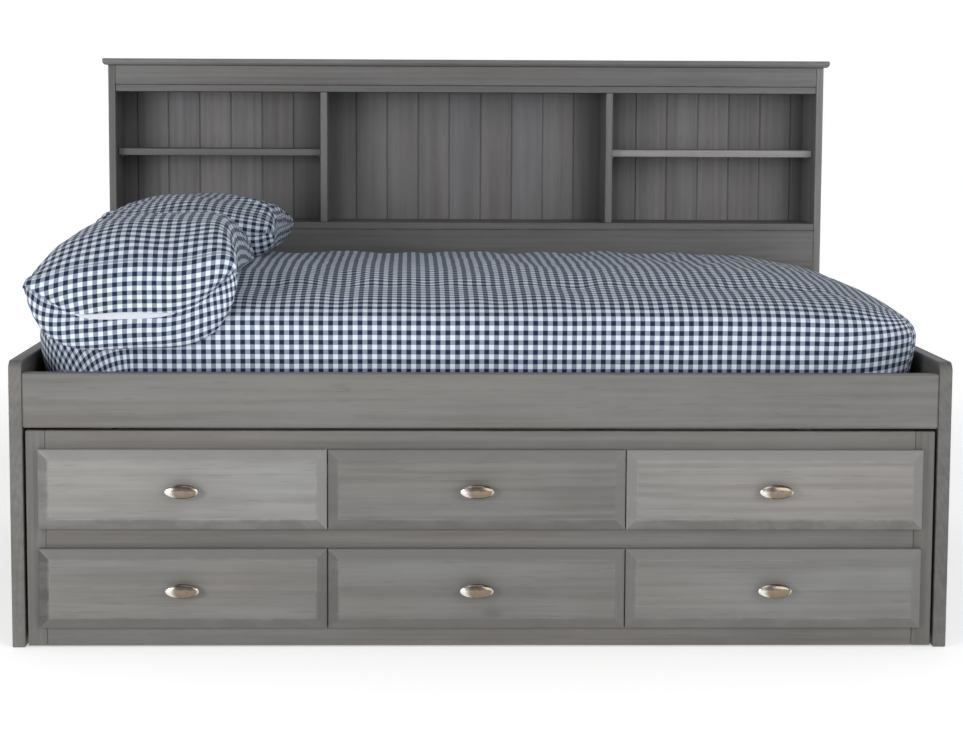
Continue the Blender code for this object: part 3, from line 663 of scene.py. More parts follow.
class DAYBED_OT_woodwork(bpy.types.Operator):
    """Stain the boards and give the bare pine its grain"""

    bl_idname = "daybed.woodwork"
    bl_label = "Woodwork"

    def execute(self, context):
        wood = context.scene.daybed_wood
        for seed, (name, (grain, stain)) in enumerate(board_finishes(wood).items()):
            knots = 0.30 if name == "front_rail" else 0.10
            material = stained_pine(name + "_stain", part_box(name), grain, stain, seed + 1, knots)
            dress(name, material)
        case = [part * share for part, share in zip(wood.case_stain, PLANK_TINT)]
        uprights = [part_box("bookcase_" + name) for name in ("left_divider", "right_divider")]
        corners = [plane for low, high in uprights for plane in (low.x, high.x)]
        corners += [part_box("bookcase_left_side")[1].x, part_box("bookcase_right_side")[0].x]
        back = stained_pine(
            "bookcase_back_stain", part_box("bookcase_back"), Z, case, 71, 0.0, 0.2,
            planks=PLANK_PITCH, corners=corners,
        )
        dress("bookcase_back", back)
        lengthwise = bare_pine("pine_along_x", tuple(wood.pine), X, 81)
        crosswise = bare_pine("pine_along_y", tuple(wood.pine), Y, 82)
        for name in ("front_cleat", "centre_beam", "trundle_slats"):
            dress(name, lengthwise)
        names = ["bed_slats", "trundle_left_partition", "trundle_right_partition"]
        names += ["drawer_runner_" + column for column in COLUMNS]
        for name in names:
            dress(name, crosswise)
        for column in COLUMNS:
            dress("drawer_box_" + column, lengthwise)
        return {"FINISHED"}


def dress(name, material):
    """A frame node's own material slots are emptied for one new material."""
    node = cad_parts[name]
    node.data.materials.clear()
    node.data.materials.append(material)


# ---- Raised fronts ----------------------------------------------------------------------
FRONT_BEVEL = 0.024
FRONT_RAISE = 0.007
FRONT_EASE = 0.0016


def front_lines(low, high):
    """Grid lines close together over the bevel and wide apart over the field."""
    near = [0.0, 0.0004, 0.0009, 0.0016, 0.006, 0.012, 0.018, 0.0222, 0.0232, 0.0242, 0.0254]
    near = np.array(near)
    inner = np.linspace(0.032, high - low - 0.032, 12)
    return np.concatenate((low + near, low + inner, high - near[::-1]))


def front_height(edge):
    """Rise of a raised front's face at a distance from its outline: a straight bevel up to
    a flat field, less a round arris at the outline and a soft dip where the two meet."""
    inside = FRONT_EASE - np.minimum(edge, FRONT_EASE)
    arris = FRONT_EASE - np.sqrt(np.maximum(0.0, FRONT_EASE**2 - inside**2))
    bevel = FRONT_RAISE * np.clip(edge / FRONT_BEVEL, 0.0, 1.0)
    round_off = 0.0007 * np.exp(-(((edge - FRONT_BEVEL) / 0.0016) ** 2))
    return bevel - arris - round_off * 0.6


def raised_front(name, body, material):
    """Front board with square sides: y = low.y + FRONT_RAISE - rise(distance to the
    outline)."""
    low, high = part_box(name)
    xs = front_lines(low.x, high.x)
    zs = front_lines(low.z, high.z)
    x, z = np.meshgrid(xs, zs, indexing="ij")
    edge = np.minimum(np.minimum(x - low.x, high.x - x), np.minimum(z - low.z, high.z - z))
    y = low.y + FRONT_RAISE - front_height(edge)
    face = np.stack((x, y, z), axis=-1)
    rows, columns = x.shape
    faces = grid_faces(rows, columns)
    rim = grid_rim(rows, columns)
    back = np.array([(xs[i], high.y, zs[j]) for i, j in rim])
    start = rows * columns
    count = len(rim)
    for index in range(count):
        after = (index + 1) % count
        a = rim[index][0] * columns + rim[index][1]
        b = rim[after][0] * columns + rim[after][1]
        faces.append([a, b, start + after, start + index])
    faces.append([start + index for index in range(count)])
    points = np.vstack((face.reshape(-1, 3), back))
    faces = outward(points, faces)
    made = piece(name + "_panel", points, faces, material, body, sharp=35)
    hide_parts(name)


class DAYBED_OT_fronts(bpy.types.Operator):
    """Raised panels of the false fronts and the drawers"""

    bl_idname = "daybed.fronts"
    bl_label = "Raised fronts"

    def execute(self, context):
        stain = tuple(context.scene.daybed_wood.front_stain)
        # each front's share of the stain, then its left, right, top and bottom bevel shares: stain on the end
        # grain, and painted shade
        tones = {
            "false_front_left": (1.27, (0.56, 0.90, 0.94, 0.58)),
            "false_front_middle": (0.85, (0.66, 0.98, 0.96, 0.70)),
            "false_front_right": (1.24, (0.84, 0.86, 0.94, 0.58)),
            "drawer_front_left": (0.94, (0.36, 0.64, 0.86, 0.68)),
            "drawer_front_middle": (0.86, (0.60, 0.90, 0.92, 0.74)),
            "drawer_front_right": (0.96, (0.78, 0.92, 0.94, 0.74)),
        }
        for seed, (name, (tone, sides)) in enumerate(tones.items()):
            body = "trundle" if name.startswith("false") else "drawer_" + name.split("_")[-1]
            shade = tinted(stain, tone)
            material = stained_pine(
                name + "_stain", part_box(name), X, shade, seed + 31, 0.06, 0.45, FRONT_BEVEL, sides
            )
            raised_front(name, body, material)
        return {"FINISHED"}


# ---- Crown ------------------------------------------------------------------------------
CROWN_ARRIS = 0.0035


def crown_profile(height):
    """Section of the crown's edge, from its underside out and up to its top: a hollow, a
    square edge and a rounded top arris."""
    section = [(-0.0205, 0.0), (-0.0070, 0.0), (-0.0045, 0.0012), (-0.0022, 0.0035)]
    section += [(-0.0006, 0.0062), (0.0, 0.0075)]
    return section + arc((-CROWN_ARRIS, height - CROWN_ARRIS), CROWN_ARRIS, 0.0, 90.0, 6)


class DAYBED_OT_crown(bpy.types.Operator):
    """Moulded crown board on top of the bookcase"""

    bl_idname = "daybed.crown"
    bl_label = "Crown"

    def execute(self, context):
        low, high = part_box("bookcase_crown")
        section = np.array(crown_profile(high.z - low.z))
        count = len(section)
        inset = -section[:, 0]
        level = section[:, 1] + low.z
        left, right, front = low.x + inset, high.x - inset, low.y + inset
        back = np.full(count, high.y)
        plan = ((left, back), (left, front), (right, front), (right, back))
        corners = np.array([np.stack((x, y, level), axis=-1) for x, y in plan])
        faces = grid_faces(4, count)
        faces.append(list(range(count)) + [3 * count + i for i in range(count - 1, -1, -1)])
        faces.append([row * count + count - 1 for row in range(4)])
        faces.append([row * count for row in range(4)])
        stain = tinted(tuple(context.scene.daybed_wood.case_stain), 1.08)
        material = stained_pine("crown_stain", (low, high), X, stain, 61, 0.05, 0.5)
        points = corners.reshape(-1, 3)
        faces = outward(points, faces)
        made = piece("crown_moulding", points, faces, material, "bed", smooth=False)
        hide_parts("bookcase_crown")
        return {"FINISHED"}


# ---- Knobs ------------------------------------------------------------------------------
class DAYBED_OT_knobs(bpy.types.Operator):
    """Oval knobs on the six fronts"""

    bl_idname = "daybed.knobs"
    bl_label = "Knobs"

    def execute(self, context):
        material = satin_nickel()
        for row in ("top", "low"):
            for column in COLUMNS:
                name = "knob_%s_%s" % (row, column)
                body = "trundle" if row == "top" else "drawer_" + column
                oval_knob(name, body, material)
        return {"FINISHED"}


KNOB_SHOULDER = 0.0135  # how far out the head's arc starts
KNOB_START = 50.0  # how far under its widest ring it starts, in degrees


def oval_knob(name, body, material):
    """A knob whose section grows from a round foot and stem to an oval head. At each step
    outwards it has a half length a and a half height b, and its ring is
    (a cos, b sin); the head's face is a low dome."""
    low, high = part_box(name)
    centre = (low + high) / 2
    half_long = (high.x - low.x) / 2
    half_tall = (high.z - low.z) / 2
    reach = high.y - low.y
    stem = [(0.0, 0.0, 0.0), (0.0, 0.0098, 0.0098), (0.0016, 0.0100, 0.0100)]
    stem += [(0.0028, 0.0092, 0.0092), (0.0042, 0.0072, 0.0070)]
    stem += [(0.0075, 0.0066, 0.0060), (0.0105, 0.0082, 0.0068)]
    angle = np.radians(np.linspace(-KNOB_START, 90.0, 15))
    deep = np.sin(np.radians(KNOB_START))
    rise = (reach - KNOB_SHOULDER) * (np.sin(angle) + deep) / (1 + deep)
    share = np.cos(angle) ** 0.9
    head = np.stack((KNOB_SHOULDER + rise, half_long * share, half_tall * share), axis=-1)
    steps = np.vstack((stem, head))
    angle = np.linspace(0.0, 2 * math.pi, 56, endpoint=False)
    rings = steps[1:-1]
    x = centre.x + rings[:, 1, None] * np.cos(angle)
    z = centre.z + rings[:, 2, None] * np.sin(angle)
    y = np.broadcast_to(high.y - rings[:, 0, None], x.shape)
    points = np.stack((x, y, z), axis=-1).reshape(-1, 3)
    tips = np.array([(centre.x, high.y, centre.z), (centre.x, high.y - steps[-1, 0], centre.z)])
    faces = grid_faces(len(rings), len(angle), wrap_columns=True)
    first = len(points)
    last = (len(rings) - 1) * len(angle)
    for index in range(len(angle)):
        after = (index + 1) % len(angle)
        faces.append([first, index, after])
        faces.append([first + 1, last + after, last + index])
    points = np.vstack((points, tips))
    faces = outward(points, faces)
    made = piece(name + "_oval", points, faces, material, body, sharp=50)
    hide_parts(name)


# ---- Casters ----------------------------------------------------------------------------
class DAYBED_OT_casters(bpy.types.Operator):
    """Wheels with rubber treads on grey hubs, and their zinc forks"""

    bl_idname = "daybed.casters"
    bl_label = "Casters"

    def execute(self, context):
        rubber = grey_rubber()
        nylon = nylon_hub()
        zinc = zinc_plate()
        for corner in CORNERS:
            dress("caster_bracket_" + corner, zinc)
            caster_wheel(corner, rubber, nylon)
        return {"FINISHED"}


TYRE_HALF = 0.010  # half the tyre's width
TYRE_TURNS = 64


def caster_wheel(corner, rubber, nylon):
    """A tyre with two grooves, and inside it a dished hub with its axle."""
    name = "caster_wheel_" + corner
    low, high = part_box(name)
    centre = tuple((low + high) / 2)
    radius = (high.z - low.z) / 2
    reach = (high.x - low.x) / 2
    half = TYRE_HALF
    rim = radius * 0.70
    shoulder = [(half - 0.003, radius), (half - 0.0012, radius - 0.0008), (half, radius - 0.003), (half, rim)]
    tyre = [(-x, r) for x, r in shoulder[::-1]]
    for middle in (-0.0035, 0.0035):
        tyre += [(middle - 0.0009, radius), (middle - 0.0005, radius - 0.001)]
        tyre += [(middle + 0.0005, radius - 0.001), (middle + 0.0009, radius)]
    tyre += shoulder
    along, across = np.array(tyre).T
    angle = np.linspace(0.0, 2 * math.pi, TYRE_TURNS, endpoint=False)
    x = np.broadcast_to(along[:, None], (len(tyre), TYRE_TURNS))
    ring = np.stack((x, across[:, None] * np.cos(angle), across[:, None] * np.sin(angle)), axis=-1)
    points = ring.reshape(-1, 3) + np.array(centre)
    faces = outward(points, grid_faces(len(tyre), TYRE_TURNS, wrap_rows=True, wrap_columns=True))
    body = "wheel_" + corner
    tread = piece("tyre_" + corner, points, faces, rubber, body, sharp=40)
    side = [(-reach, 0.0), (-reach, 0.0030), (-half - 0.0005, 0.0034), (-half - 0.0005, 0.0062)]
    side += [(-half + 0.0015, 0.0068), (-half + 0.0022, 0.0110)]
    side += [(-half + 0.0004, 0.0132), (-half + 0.0004, rim)]
    profile = side + [(-x, r) for x, r in side[::-1]]
    points, faces = turned(profile, 48, X, centre)
    piece("hub_" + corner, points, faces, nylon, body, sharp=40)
    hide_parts(name)


# ---- Pins and screws --------------------------------------------------------------------
def pin_profile(length, radius, head, head_thickness):
    """A shank with a flat round head, from the shank's tip to the head's face."""
    return [
        (0.0, 0.0),
        (0.0, radius),
        (length, radius),
        (length, head),
        (length + head_thickness * 0.6, head),
        (length + head_thickness, head * 0.8),
        (length + head_thickness, 0.0),
    ]


# length and radius of the shank, radius and thickness of the head
SHELF_PIN = (0.009, 0.0025, 0.0026, 0.0010)
PANEL_BOLT = (0.006, 0.003, 0.0075, 0.0014)
KNOB_SCREW = (0.0085, 0.002, 0.0042, 0.0022)
CASE_BOLT_LEVEL = 0.30


def fastener(name, centre, axis, way, sizes, material, body="bed", turns=20):
    """One pin or screw; way is the side along axis that its head faces."""
    profile = [(along * way, width) for along, width in pin_profile(*sizes)]
    points, faces = turned(profile, turns, axis, centre)
    piece(name, points, faces, material, body, sharp=40)


class DAYBED_OT_hardware(bpy.types.Operator):
    """Shelf pins, panel bolts and knob screws"""

    bl_idname = "daybed.hardware"
    bl_label = "Pins and screws"

    def execute(self, context):
        zinc = zinc_plate("zinc_hardware")
        self.shelf_pins(zinc)
        self.panel_bolts(zinc)
        self.knob_screws(zinc)
        return {"FINISHED"}

    def shelf_pins(self, material):
        """Four under each loose shelf, two at each end, half under the shelf's edge."""
        for side in ("left", "right"):
            low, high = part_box("bookcase_%s_shelf" % side)
            for end, x, way in (("a", low.x, 1), ("b", high.x, -1)):
                for row, y in (("front", low.y + 0.035), ("back", high.y - 0.035)):
                    name = "shelf_pin_%s_%s_%s" % (side, end, row)
                    centre = (x - way * 0.0013, y, low.z - 0.0029)
                    fastener(name, centre, X, way, SHELF_PIN, material)

    def panel_bolts(self, material):
        """Flat bolt heads on the end panels' outer faces, in line with what they hold."""
        low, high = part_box("front_rail")
        places = [((low.y + high.y) / 2, z) for z in (low.z + 0.03, high.z - 0.03)]
        for name in ("centre_beam", "rear_rail"):
            low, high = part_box(name)
            places.append(((low.y + high.y) / 2, (low.z + high.z) / 2))
        low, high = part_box("bookcase_left_side")
        places += [(low.y + share * (high.y - low.y), CASE_BOLT_LEVEL) for share in (0.25, 0.75)]
        for side, way in (("left", -1), ("right", 1)):
            low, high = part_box("%s_end_panel" % side)
            face = low.x if way < 0 else high.x
            for index, (y, z) in enumerate(places):
                name = "panel_bolt_%s_%d" % (side, index)
                centre = (face - way * PANEL_BOLT[0], y, z)
                fastener(name, centre, X, way, PANEL_BOLT, material, turns=28)

    def knob_screws(self, material):
        """The heads of the machine screws that hold the knobs, inside each drawer's box."""
        for column in COLUMNS:
            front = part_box("drawer_box_" + column)[0].y
            knob_low, knob_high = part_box("knob_low_" + column)
            middle = (knob_low + knob_high) / 2
            centre = (middle.x, front + 0.004, middle.z)
            fastener("knob_screw_" + column, centre, Y, 1, KNOB_SCREW, material, "drawer_" + column)


# ---- Mattress and fitted sheet ----------------------------------------------------------
SHEET_CORNER = 0.200  # plan radius of the mattress's corners
SHEET_SEAM = 0.42  # where round the corner the sheet is sewn, from the end, in radians
SHEET_TUCK = 0.060
FOOT_ROUND = 0.030
TOP_RISE = 0.020  # the made-up mattress's middle, above its own solid
END_FALL = 0.014  # how much lower the top is at the ends and at the front
FRONT_FALL = 0.032
MATTRESS_HALF = (MATTRESS_HIGH - MATTRESS_LOW) / 2
MATTRESS_MIDDLE = (MATTRESS_HIGH + MATTRESS_LOW) / 2
MATTRESS_TOP = 2 * MATTRESS_HALF.z + TOP_RISE
INNER_X = MATTRESS_HALF.x - SHEET_CORNER  # half lengths of the top inside its round edges
INNER_Y = MATTRESS_HALF.y - SHEET_CORNER


def edge_section(top, run, turn, power, lean, spread):
    """The mattress's edge in section, from the top outwards, as arrays of the way along the
    cloth, the way out and the level. With t the way up from the widest point, its slope is
    90 degrees / (1 + (t / turn) ** power): upright at the side and slowly level on top.
    Under the widest point the side leans in by lean, turns round FOOT_ROUND and runs
    spread under the mattress."""
    t = np.linspace(0.0, 0.6, 3000)
    slope = math.pi / 2 / (1 + (t / turn) ** power)
    step = t[1] - t[0]
    across = np.cumsum(np.cos(slope)) * step
    up = np.cumsum(np.sin(slope)) * step
    last = int(np.searchsorted(across, run))
    out = run - across[last::-1]
    level = top - up[last] + up[last::-1]
    widest = level[-1]
    side = np.linspace(0.0, widest - FOOT_ROUND, 60)[1:]
    out = np.append(out, run - lean * (side / side[-1]) ** 1.6)
    level = np.append(level, widest - side)
    angle = np.linspace(0.0, math.pi / 2, 16)[1:]
    foot = run - lean - FOOT_ROUND
    out = np.append(out, foot + FOOT_ROUND * np.cos(angle))
    level = np.append(level, FOOT_ROUND * (1 - np.sin(angle)))
    out = np.append(out, foot - spread)
    level = np.append(level, 0.0)
    along = np.append(0.0, np.cumsum(np.hypot(np.diff(out), np.diff(level))))
    return along, out, level


def end_section(spread, grow=0.0):
    top = MATTRESS_TOP - END_FALL + grow
    return edge_section(top, SHEET_CORNER + 0.031 + grow, 0.050, 1.22, 0.014, spread)


def front_section(spread, grow=0.0):
    top = MATTRESS_TOP - FRONT_FALL + grow
    return edge_section(top, SHEET_CORNER + 0.002 + grow, 0.024, 1.3, 0.010, spread)


def ripple(x, y, waves, seed):
    """A sum of sines with random directions, lengths and phases."""
    draw = np.random.default_rng(seed)
    total = np.zeros_like(x)
    for low, high, amount, lean in waves:
        for _ in range(5):
            length = draw.uniform(low, high)
            angle = draw.normal(lean, 0.35)
            phase = draw.uniform(0.0, 2 * math.pi)
            run = x * math.cos(angle) + y * math.sin(angle)
            total += amount / 5 * np.sin(2 * math.pi * run / length + phase)
    return total


def ring_angle(du, dv):
    """Angle from X of a square ring's point, spread evenly over the quarter turn."""
    wide = du >= dv
    safe = np.maximum(np.where(wide, du, dv), 1e-9)
    share = np.where(wide, dv, du) / safe
    return np.where(wide, math.pi / 4 * share, math.pi / 2 - math.pi / 4 * share)


def crown_fall(x, y, ends, fronts):
    """How far the top lies below its middle, growing with x ** 8 and y ** 4."""
    return ends * END_FALL * (x / INNER_X) ** 8 + fronts * FRONT_FALL * (y / INNER_Y) ** 4


def mattress_shell(spread, steps, grow=0.0):
    """A sheet laid over the mattress. A flat grid is split into an inner rectangle and a
    border. A border point runs out along the edge's section, and at the corners square
    rings of the grid become round ones, between the front's section and the end's. Gives
    points about the middle of the mattress's underside, flat UV in metres, and for each
    point its place on the inner rectangle, its signs, its ring's angle and its way out."""
    end = end_section(spread, grow)
    front = front_section(spread, grow)
    far = max(end[0][-1], front[0][-1])
    nx, ny, nr = steps
    border = far * np.linspace(0.0, 1.0, nr + 1)[1:]
    lines = [
        np.concatenate((-inner - border[::-1], np.linspace(-inner, inner, count), inner + border))
        for inner, count in ((INNER_X, nx), (INNER_Y, ny))
    ]
    u, v = np.meshgrid(*lines, indexing="ij")
    du = np.maximum(np.abs(u) - INNER_X, 0.0)
    dv = np.maximum(np.abs(v) - INNER_Y, 0.0)
    share = np.maximum(du, dv) / far
    angle = ring_angle(du, dv)
    edge = share > 0
    cos_a = np.cos(angle) * np.sign(u) * edge
    sin_a = np.sin(angle) * np.sign(v) * edge
    to_end = np.cos(angle) ** 2
    along, out, level = (
        to_end * np.interp(share * end[0][-1], end[0], end[part])
        + (1 - to_end) * np.interp(share * front[0][-1], front[0], front[part])
        for part in (0, 1, 2)
    )
    clipped_x = np.clip(u, -INNER_X, INNER_X)
    clipped_y = np.clip(v, -INNER_Y, INNER_Y)
    fade = np.clip(level / MATTRESS_TOP, 0.0, 1.0) ** 3
    fall = crown_fall(clipped_x, clipped_y, 1 - to_end, to_end) * fade
    inside = MATTRESS_TOP + grow - crown_fall(clipped_x, clipped_y, 1.0, 1.0)
    level = np.where(edge, level - fall, inside)
    points = np.stack((clipped_x + out * cos_a, clipped_y + out * sin_a, level), axis=-1)
    flat = np.stack((clipped_x + along * cos_a, clipped_y + along * sin_a), axis=-1)
    angle = np.where(edge, angle, 0.0)
    return points, flat, (clipped_x, clipped_y, np.sign(u), np.sign(v), angle, along * edge)


def mattress_base():
    return np.array((MATTRESS_MIDDLE.x, MATTRESS_MIDDLE.y, MATTRESS_LOW.z))


def mattress_level(x, y):
    """Height of the made-up mattress at a place, and a very low one past its edge."""
    x = np.abs(x - MATTRESS_MIDDLE.x)
    y = np.abs(y - MATTRESS_MIDDLE.y)
    dx = np.maximum(x - INNER_X, 0.0)
    dy = np.maximum(y - INNER_Y, 0.0)
    out = np.hypot(dx, dy)
    to_end = (dx / np.maximum(out, 1e-9)) ** 2
    level = np.zeros_like(x)
    for section, share in ((end_section(0.0), to_end), (front_section(0.0), 1 - to_end)):
        top = int(np.argmax(section[1])) + 1
        level += share * np.interp(out, section[1][:top], section[2][:top], right=-9.0)
    clipped = crown_fall(np.minimum(x, INNER_X), np.minimum(y, INNER_Y), 1 - to_end, to_end)
    inside = MATTRESS_TOP - crown_fall(x, y, 1.0, 1.0)
    return MATTRESS_LOW.z + np.where(out > 0, level - clipped, inside)


def sheet_waves(x, y):
    """Creases of a sheet that isn't pulled tight: long soft waves and a few short ones."""
    waves = ((0.16, 0.34, 0.0052, 0.20), (0.07, 0.15, 0.0034, -0.25), (0.045, 0.09, 0.0011, 0.9))
    return ripple(x, y, waves, 11)


def sewn_corner_uv(flat, ring, faces):
    """UV of every face corner. On the right the sheet's corners are cut and sewn, so that
    down the side the check runs round the corner, up to a seam near the end: the way
    across is the arc's length and the way down stays level. On the left it is flat."""
    inner_x, inner_y, sign_x, sign_y, angle, along = ring
    share = np.clip((along - 0.15) / 0.10, 0.0, 1.0) * (sign_x > 0)
    share = (share * share * (3 - 2 * share))[..., None]
    quarter = SHEET_CORNER * (math.pi / 2 - angle)
    by_front = np.stack((inner_x + sign_x * quarter, inner_y + sign_y * along), axis=-1)
    by_end = np.stack((inner_x + sign_x * along, inner_y + sign_y * SHEET_CORNER * angle), axis=-1)
    by_front = (flat + (by_front - flat) * share).reshape(-1, 2)
    by_end = (flat + (by_end - flat) * share).reshape(-1, 2)
    front = angle.ravel()[faces].mean(axis=1) > SHEET_SEAM
    return np.where(front[:, None, None], by_front[faces], by_end[faces])


class DAYBED_OT_mattress(bpy.types.Operator):
    """Mattress core and its checked fitted sheet"""

    bl_idname = "daybed.mattress"
    bl_label = "Mattress and sheet"

    def execute(self, context):
        self.core()
        self.fitted_sheet(context.scene.daybed_cloth)
        return {"FINISHED"}

    def core(self):
        """The stuffed body, 8 mm inside the sheet, with a flat closed underside."""
        points = mattress_shell(0.03, (24, 18, 26), -0.008)[0]
        rows, columns = points.shape[:2]
        points[..., 2] += 0.0015
        faces = grid_faces(rows, columns)
        faces.append([i * columns + j for i, j in grid_rim(rows, columns)][::-1])
        points = points.reshape(-1, 3) + mattress_base()
        faces = outward(points, faces)
        made = piece("mattress_core", points, faces, ticking(), "bed")

    def fitted_sheet(self, cloth):
        """The sheet, tucked under the mattress on every side."""
        points, flat, ring = mattress_shell(SHEET_TUCK, (126, 84, 52))
        level = points[..., 2]
        top = np.clip((level - MATTRESS_TOP + 0.075) / 0.055, 0.0, 1.0)
        low = np.clip(level / 0.05, 0.0, 1.0) * (1 - top)
        points[..., 2] = np.maximum(level + sheet_waves(points[..., 0], points[..., 1]) * top, 0.0)
        waves = ((0.10, 0.30, 0.0040, 0.2), (0.05, 0.1, 0.0012, 0.8))
        slack = ripple(points[..., 0], level * 1.4, waves, 12)
        reach = np.abs(points[..., 1]) > MATTRESS_HALF.y - SHEET_CORNER
        points[..., 1] += slack * low * np.sign(points[..., 1]) * reach
        rows, columns = points.shape[:2]
        points = points.reshape(-1, 3) + mattress_base()
        faces = grid_faces(rows, columns)
        fabric = gingham("sheet_gingham", cloth)
        made = piece("fitted_sheet", points, faces, fabric, "bed")
        corner_uv(made.data, sewn_corner_uv(flat, ring, np.array(faces)))
        skin = made.modifiers.new("cloth_thickness", "SOLIDIFY")
        skin.thickness = 0.0009
        skin.offset = 0.0
        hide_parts("mattress")


# ---- Pillows ----------------------------------------------------------------------------
PILLOW_GRID = (56, 72)
UNDER_ARCH = ((3.6, 0.6), (5.0, 0.5), 0.8)
CREASE_ROW = 0.152  # where the packing crease and its painted shade lie, as a share of the way over the top

# Each section runs from the front rim over the top, or underneath, to the back rim, as
# (from the end panels' front edges, height above the floor) at the pillow's middle.
FRONT_PILLOW = {
    "middle": -0.757,
    "half": 0.233,
    "over": (
        (-0.010, 0.727), (-0.018, 0.760), (-0.020, 0.808), (-0.010, 0.842), (0.014, 0.874),
        (0.055, 0.902), (0.105, 0.924), (0.18, 0.938), (0.30, 0.941), (0.44, 0.930), (0.56, 0.900),
        (0.63, 0.862), (0.655, 0.830),
    ),
    "under": (
        (-0.010, 0.727), (-0.020, 0.702), (-0.018, 0.674), (0.002, 0.648), (0.022, 0.660),
        (0.028, 0.695), (0.034, 0.732), (0.060, 0.762), (0.13, 0.780), (0.30, 0.785), (0.50, 0.788),
        (0.61, 0.805), (0.655, 0.830),
    ),
    "rim": 0.803,
    "droop": (0.076, -0.006, 4.0),
    "arch": ((2.0, 0.62), (7.0, 0.50), 0.95),
    "roll": 0.015,
    "pucker": 0.014,
    "turn": 0.006,
    "seed": 21,
}
REAR_PILLOW = {
    "middle": -0.708,
    "half": 0.232,
    "over": (
        (0.695, 0.862), (0.700, 0.890), (0.735, 0.920), (0.82, 0.946), (0.95, 0.958), (1.10, 0.955),
        (1.22, 0.936), (1.31, 0.906), (1.345, 0.865),
    ),
    "under": (
        (0.695, 0.862), (0.705, 0.830), (0.745, 0.806), (0.85, 0.798), (1.00, 0.797), (1.20, 0.800),
        (1.31, 0.822), (1.345, 0.865),
    ),
    "rim": 0.872,
    "droop": (0.0, 0.0, 4.0),
    "arch": ((1.7, 0.85), (2.3, 0.80), 0.54),
    "roll": 0.0,
    "pucker": 0.024,
    "turn": -0.03,
    "seed": 22,
}


def smooth_line(points, count):
    """A Catmull-Rom curve through points, as count points evenly far apart along it."""
    knots = np.array(points, float)
    padded = np.vstack((2 * knots[0] - knots[1], knots, 2 * knots[-1] - knots[-2]))
    t = np.linspace(0.0, 1.0, 40, endpoint=False)[:, None]
    p0, p1, p2, p3 = padded[:-3, None], padded[1:-2, None], padded[2:-1, None], padded[3:, None]
    square = 2 * p0 - 5 * p1 + 4 * p2 - p3
    cube = 3 * p1 - p0 - 3 * p2 + p3
    curve = 0.5 * (2 * p1 + (p2 - p0) * t + square * t**2 + cube * t**3)
    curve = np.vstack((curve.reshape(-1, knots.shape[1]), knots[-1]))
    along = np.append(0.0, np.cumsum(np.linalg.norm(np.diff(curve, axis=0), axis=1)))
    even = np.linspace(0.0, along[-1], count)
    return np.stack([np.interp(even, along, part) for part in curve.T], axis=-1)


def cloth_uv(grid, row):
    """UV in metres from the surface itself: the way across from the middle column, and
    the way along from a given row."""
    across = np.linalg.norm(np.diff(grid, axis=0), axis=-1).cumsum(axis=0)
    across = np.concatenate((np.zeros((1, grid.shape[1])), across))
    across -= across[grid.shape[0] // 2]
    along = np.linalg.norm(np.diff(grid, axis=1), axis=-1).cumsum(axis=1)
    along = np.concatenate((np.zeros((grid.shape[0], 1)), along), axis=1)
    along -= along[:, row : row + 1]
    return np.stack((across, along), axis=-1)


def pillow_rim(style, u, way):
    """Height of the flat sheet that the pillow's rim lies in, drooping at the front end."""
    droop, lift, power = style["droop"]
    front = 1 - np.clip(way / 0.34, 0.0, 1.0)
    return style["rim"] - (droop - (droop - lift) * np.abs(u) ** power) * front**2 * (3 - 2 * front)


def pillow_layer(style, key, u, count):
    """One layer: its middle section, its height over the rim's sheet scaled across the
    pillow by k (1 - |u| ** p) ** q + (1 - k) (1 - |u| ** 18) ** 0.5, with p and q for the
    left and the right half, and its plan drawn in between the corners."""
    section = smooth_line([(y + Y_FRONT, z) for y, z in style[key]], count)
    way = np.linspace(0.0, 1.0, count)[None, :]
    u = u[:, None]
    left, right, share = style["arch"] if key == "over" else UNDER_ARCH
    halves = [(1 - np.abs(u) ** power) ** root for power, root in (left, right)]
    arch = np.where(u < 0, *halves)
    arch = share * arch + (1 - share) * (1 - np.abs(u) ** 18) ** 0.5
    rim = pillow_rim(style, u, way)
    z = rim + (section[None, :, 1] - pillow_rim(style, 0.0, way)) * arch + style["roll"] * u**3
    near = 1 - np.clip(way / 0.3, 0.0, 1.0)
    y = section[None, :, 0] + 0.045 * np.abs(u) ** 3 * near
    middle = (section[0, 0] + section[-1, 0]) / 2
    length = section[-1, 0] - section[0, 0]
    v = np.clip((section[None, :, 0] - middle) / (length / 2), -1.0, 1.0)
    y = y - (y - middle) * 0.05 * (1 - u**2) * np.abs(v) ** 3 * (way > 0.5)
    tuck = np.minimum(way, 1 - way)
    drawn = 1 - 0.15 * (1 - np.clip(tuck / 0.09, 0.0, 1.0)) ** 2
    x = style["half"] * u * (1 - 0.055 * (1 - v**2)) * drawn
    rim_way = 1 - np.abs(u)
    edge = np.minimum(rim_way, 2.4 * tuck)
    calm = np.clip(edge / 0.10, 0.0, 1.0)
    short = np.clip(rim_way / 0.03, 0.0, 1.0) * np.clip(tuck / 0.02, 0.0, 1.0)
    side = ripple(x * 0.5, y, ((0.028, 0.060, style["pucker"], 1.45),), style["seed"])
    end = ripple(x, y * 0.5, ((0.030, 0.060, style["pucker"], 0.10),), style["seed"] + 2)
    folds = side * np.exp(-rim_way / 0.16) + 0.4 * end * np.exp(-(1 - way) / 0.07)
    soft = ripple(x, y, ((0.10, 0.24, 0.008, 0.5), (0.05, 0.10, 0.0035, 1.2)), style["seed"] + 5)
    z = z + (folds * short + soft * calm * 0.8) * (1.0 if key == "over" else 0.6)
    turn = style["turn"]
    turned_x = x * math.cos(turn) - (y - middle) * math.sin(turn) + style["middle"]
    turned_y = middle + x * math.sin(turn) + (y - middle) * math.cos(turn)
    if key == "under":
        z = np.maximum(z, mattress_level(turned_x, turned_y) + 0.004)
    return np.stack((turned_x, turned_y, z), axis=-1)


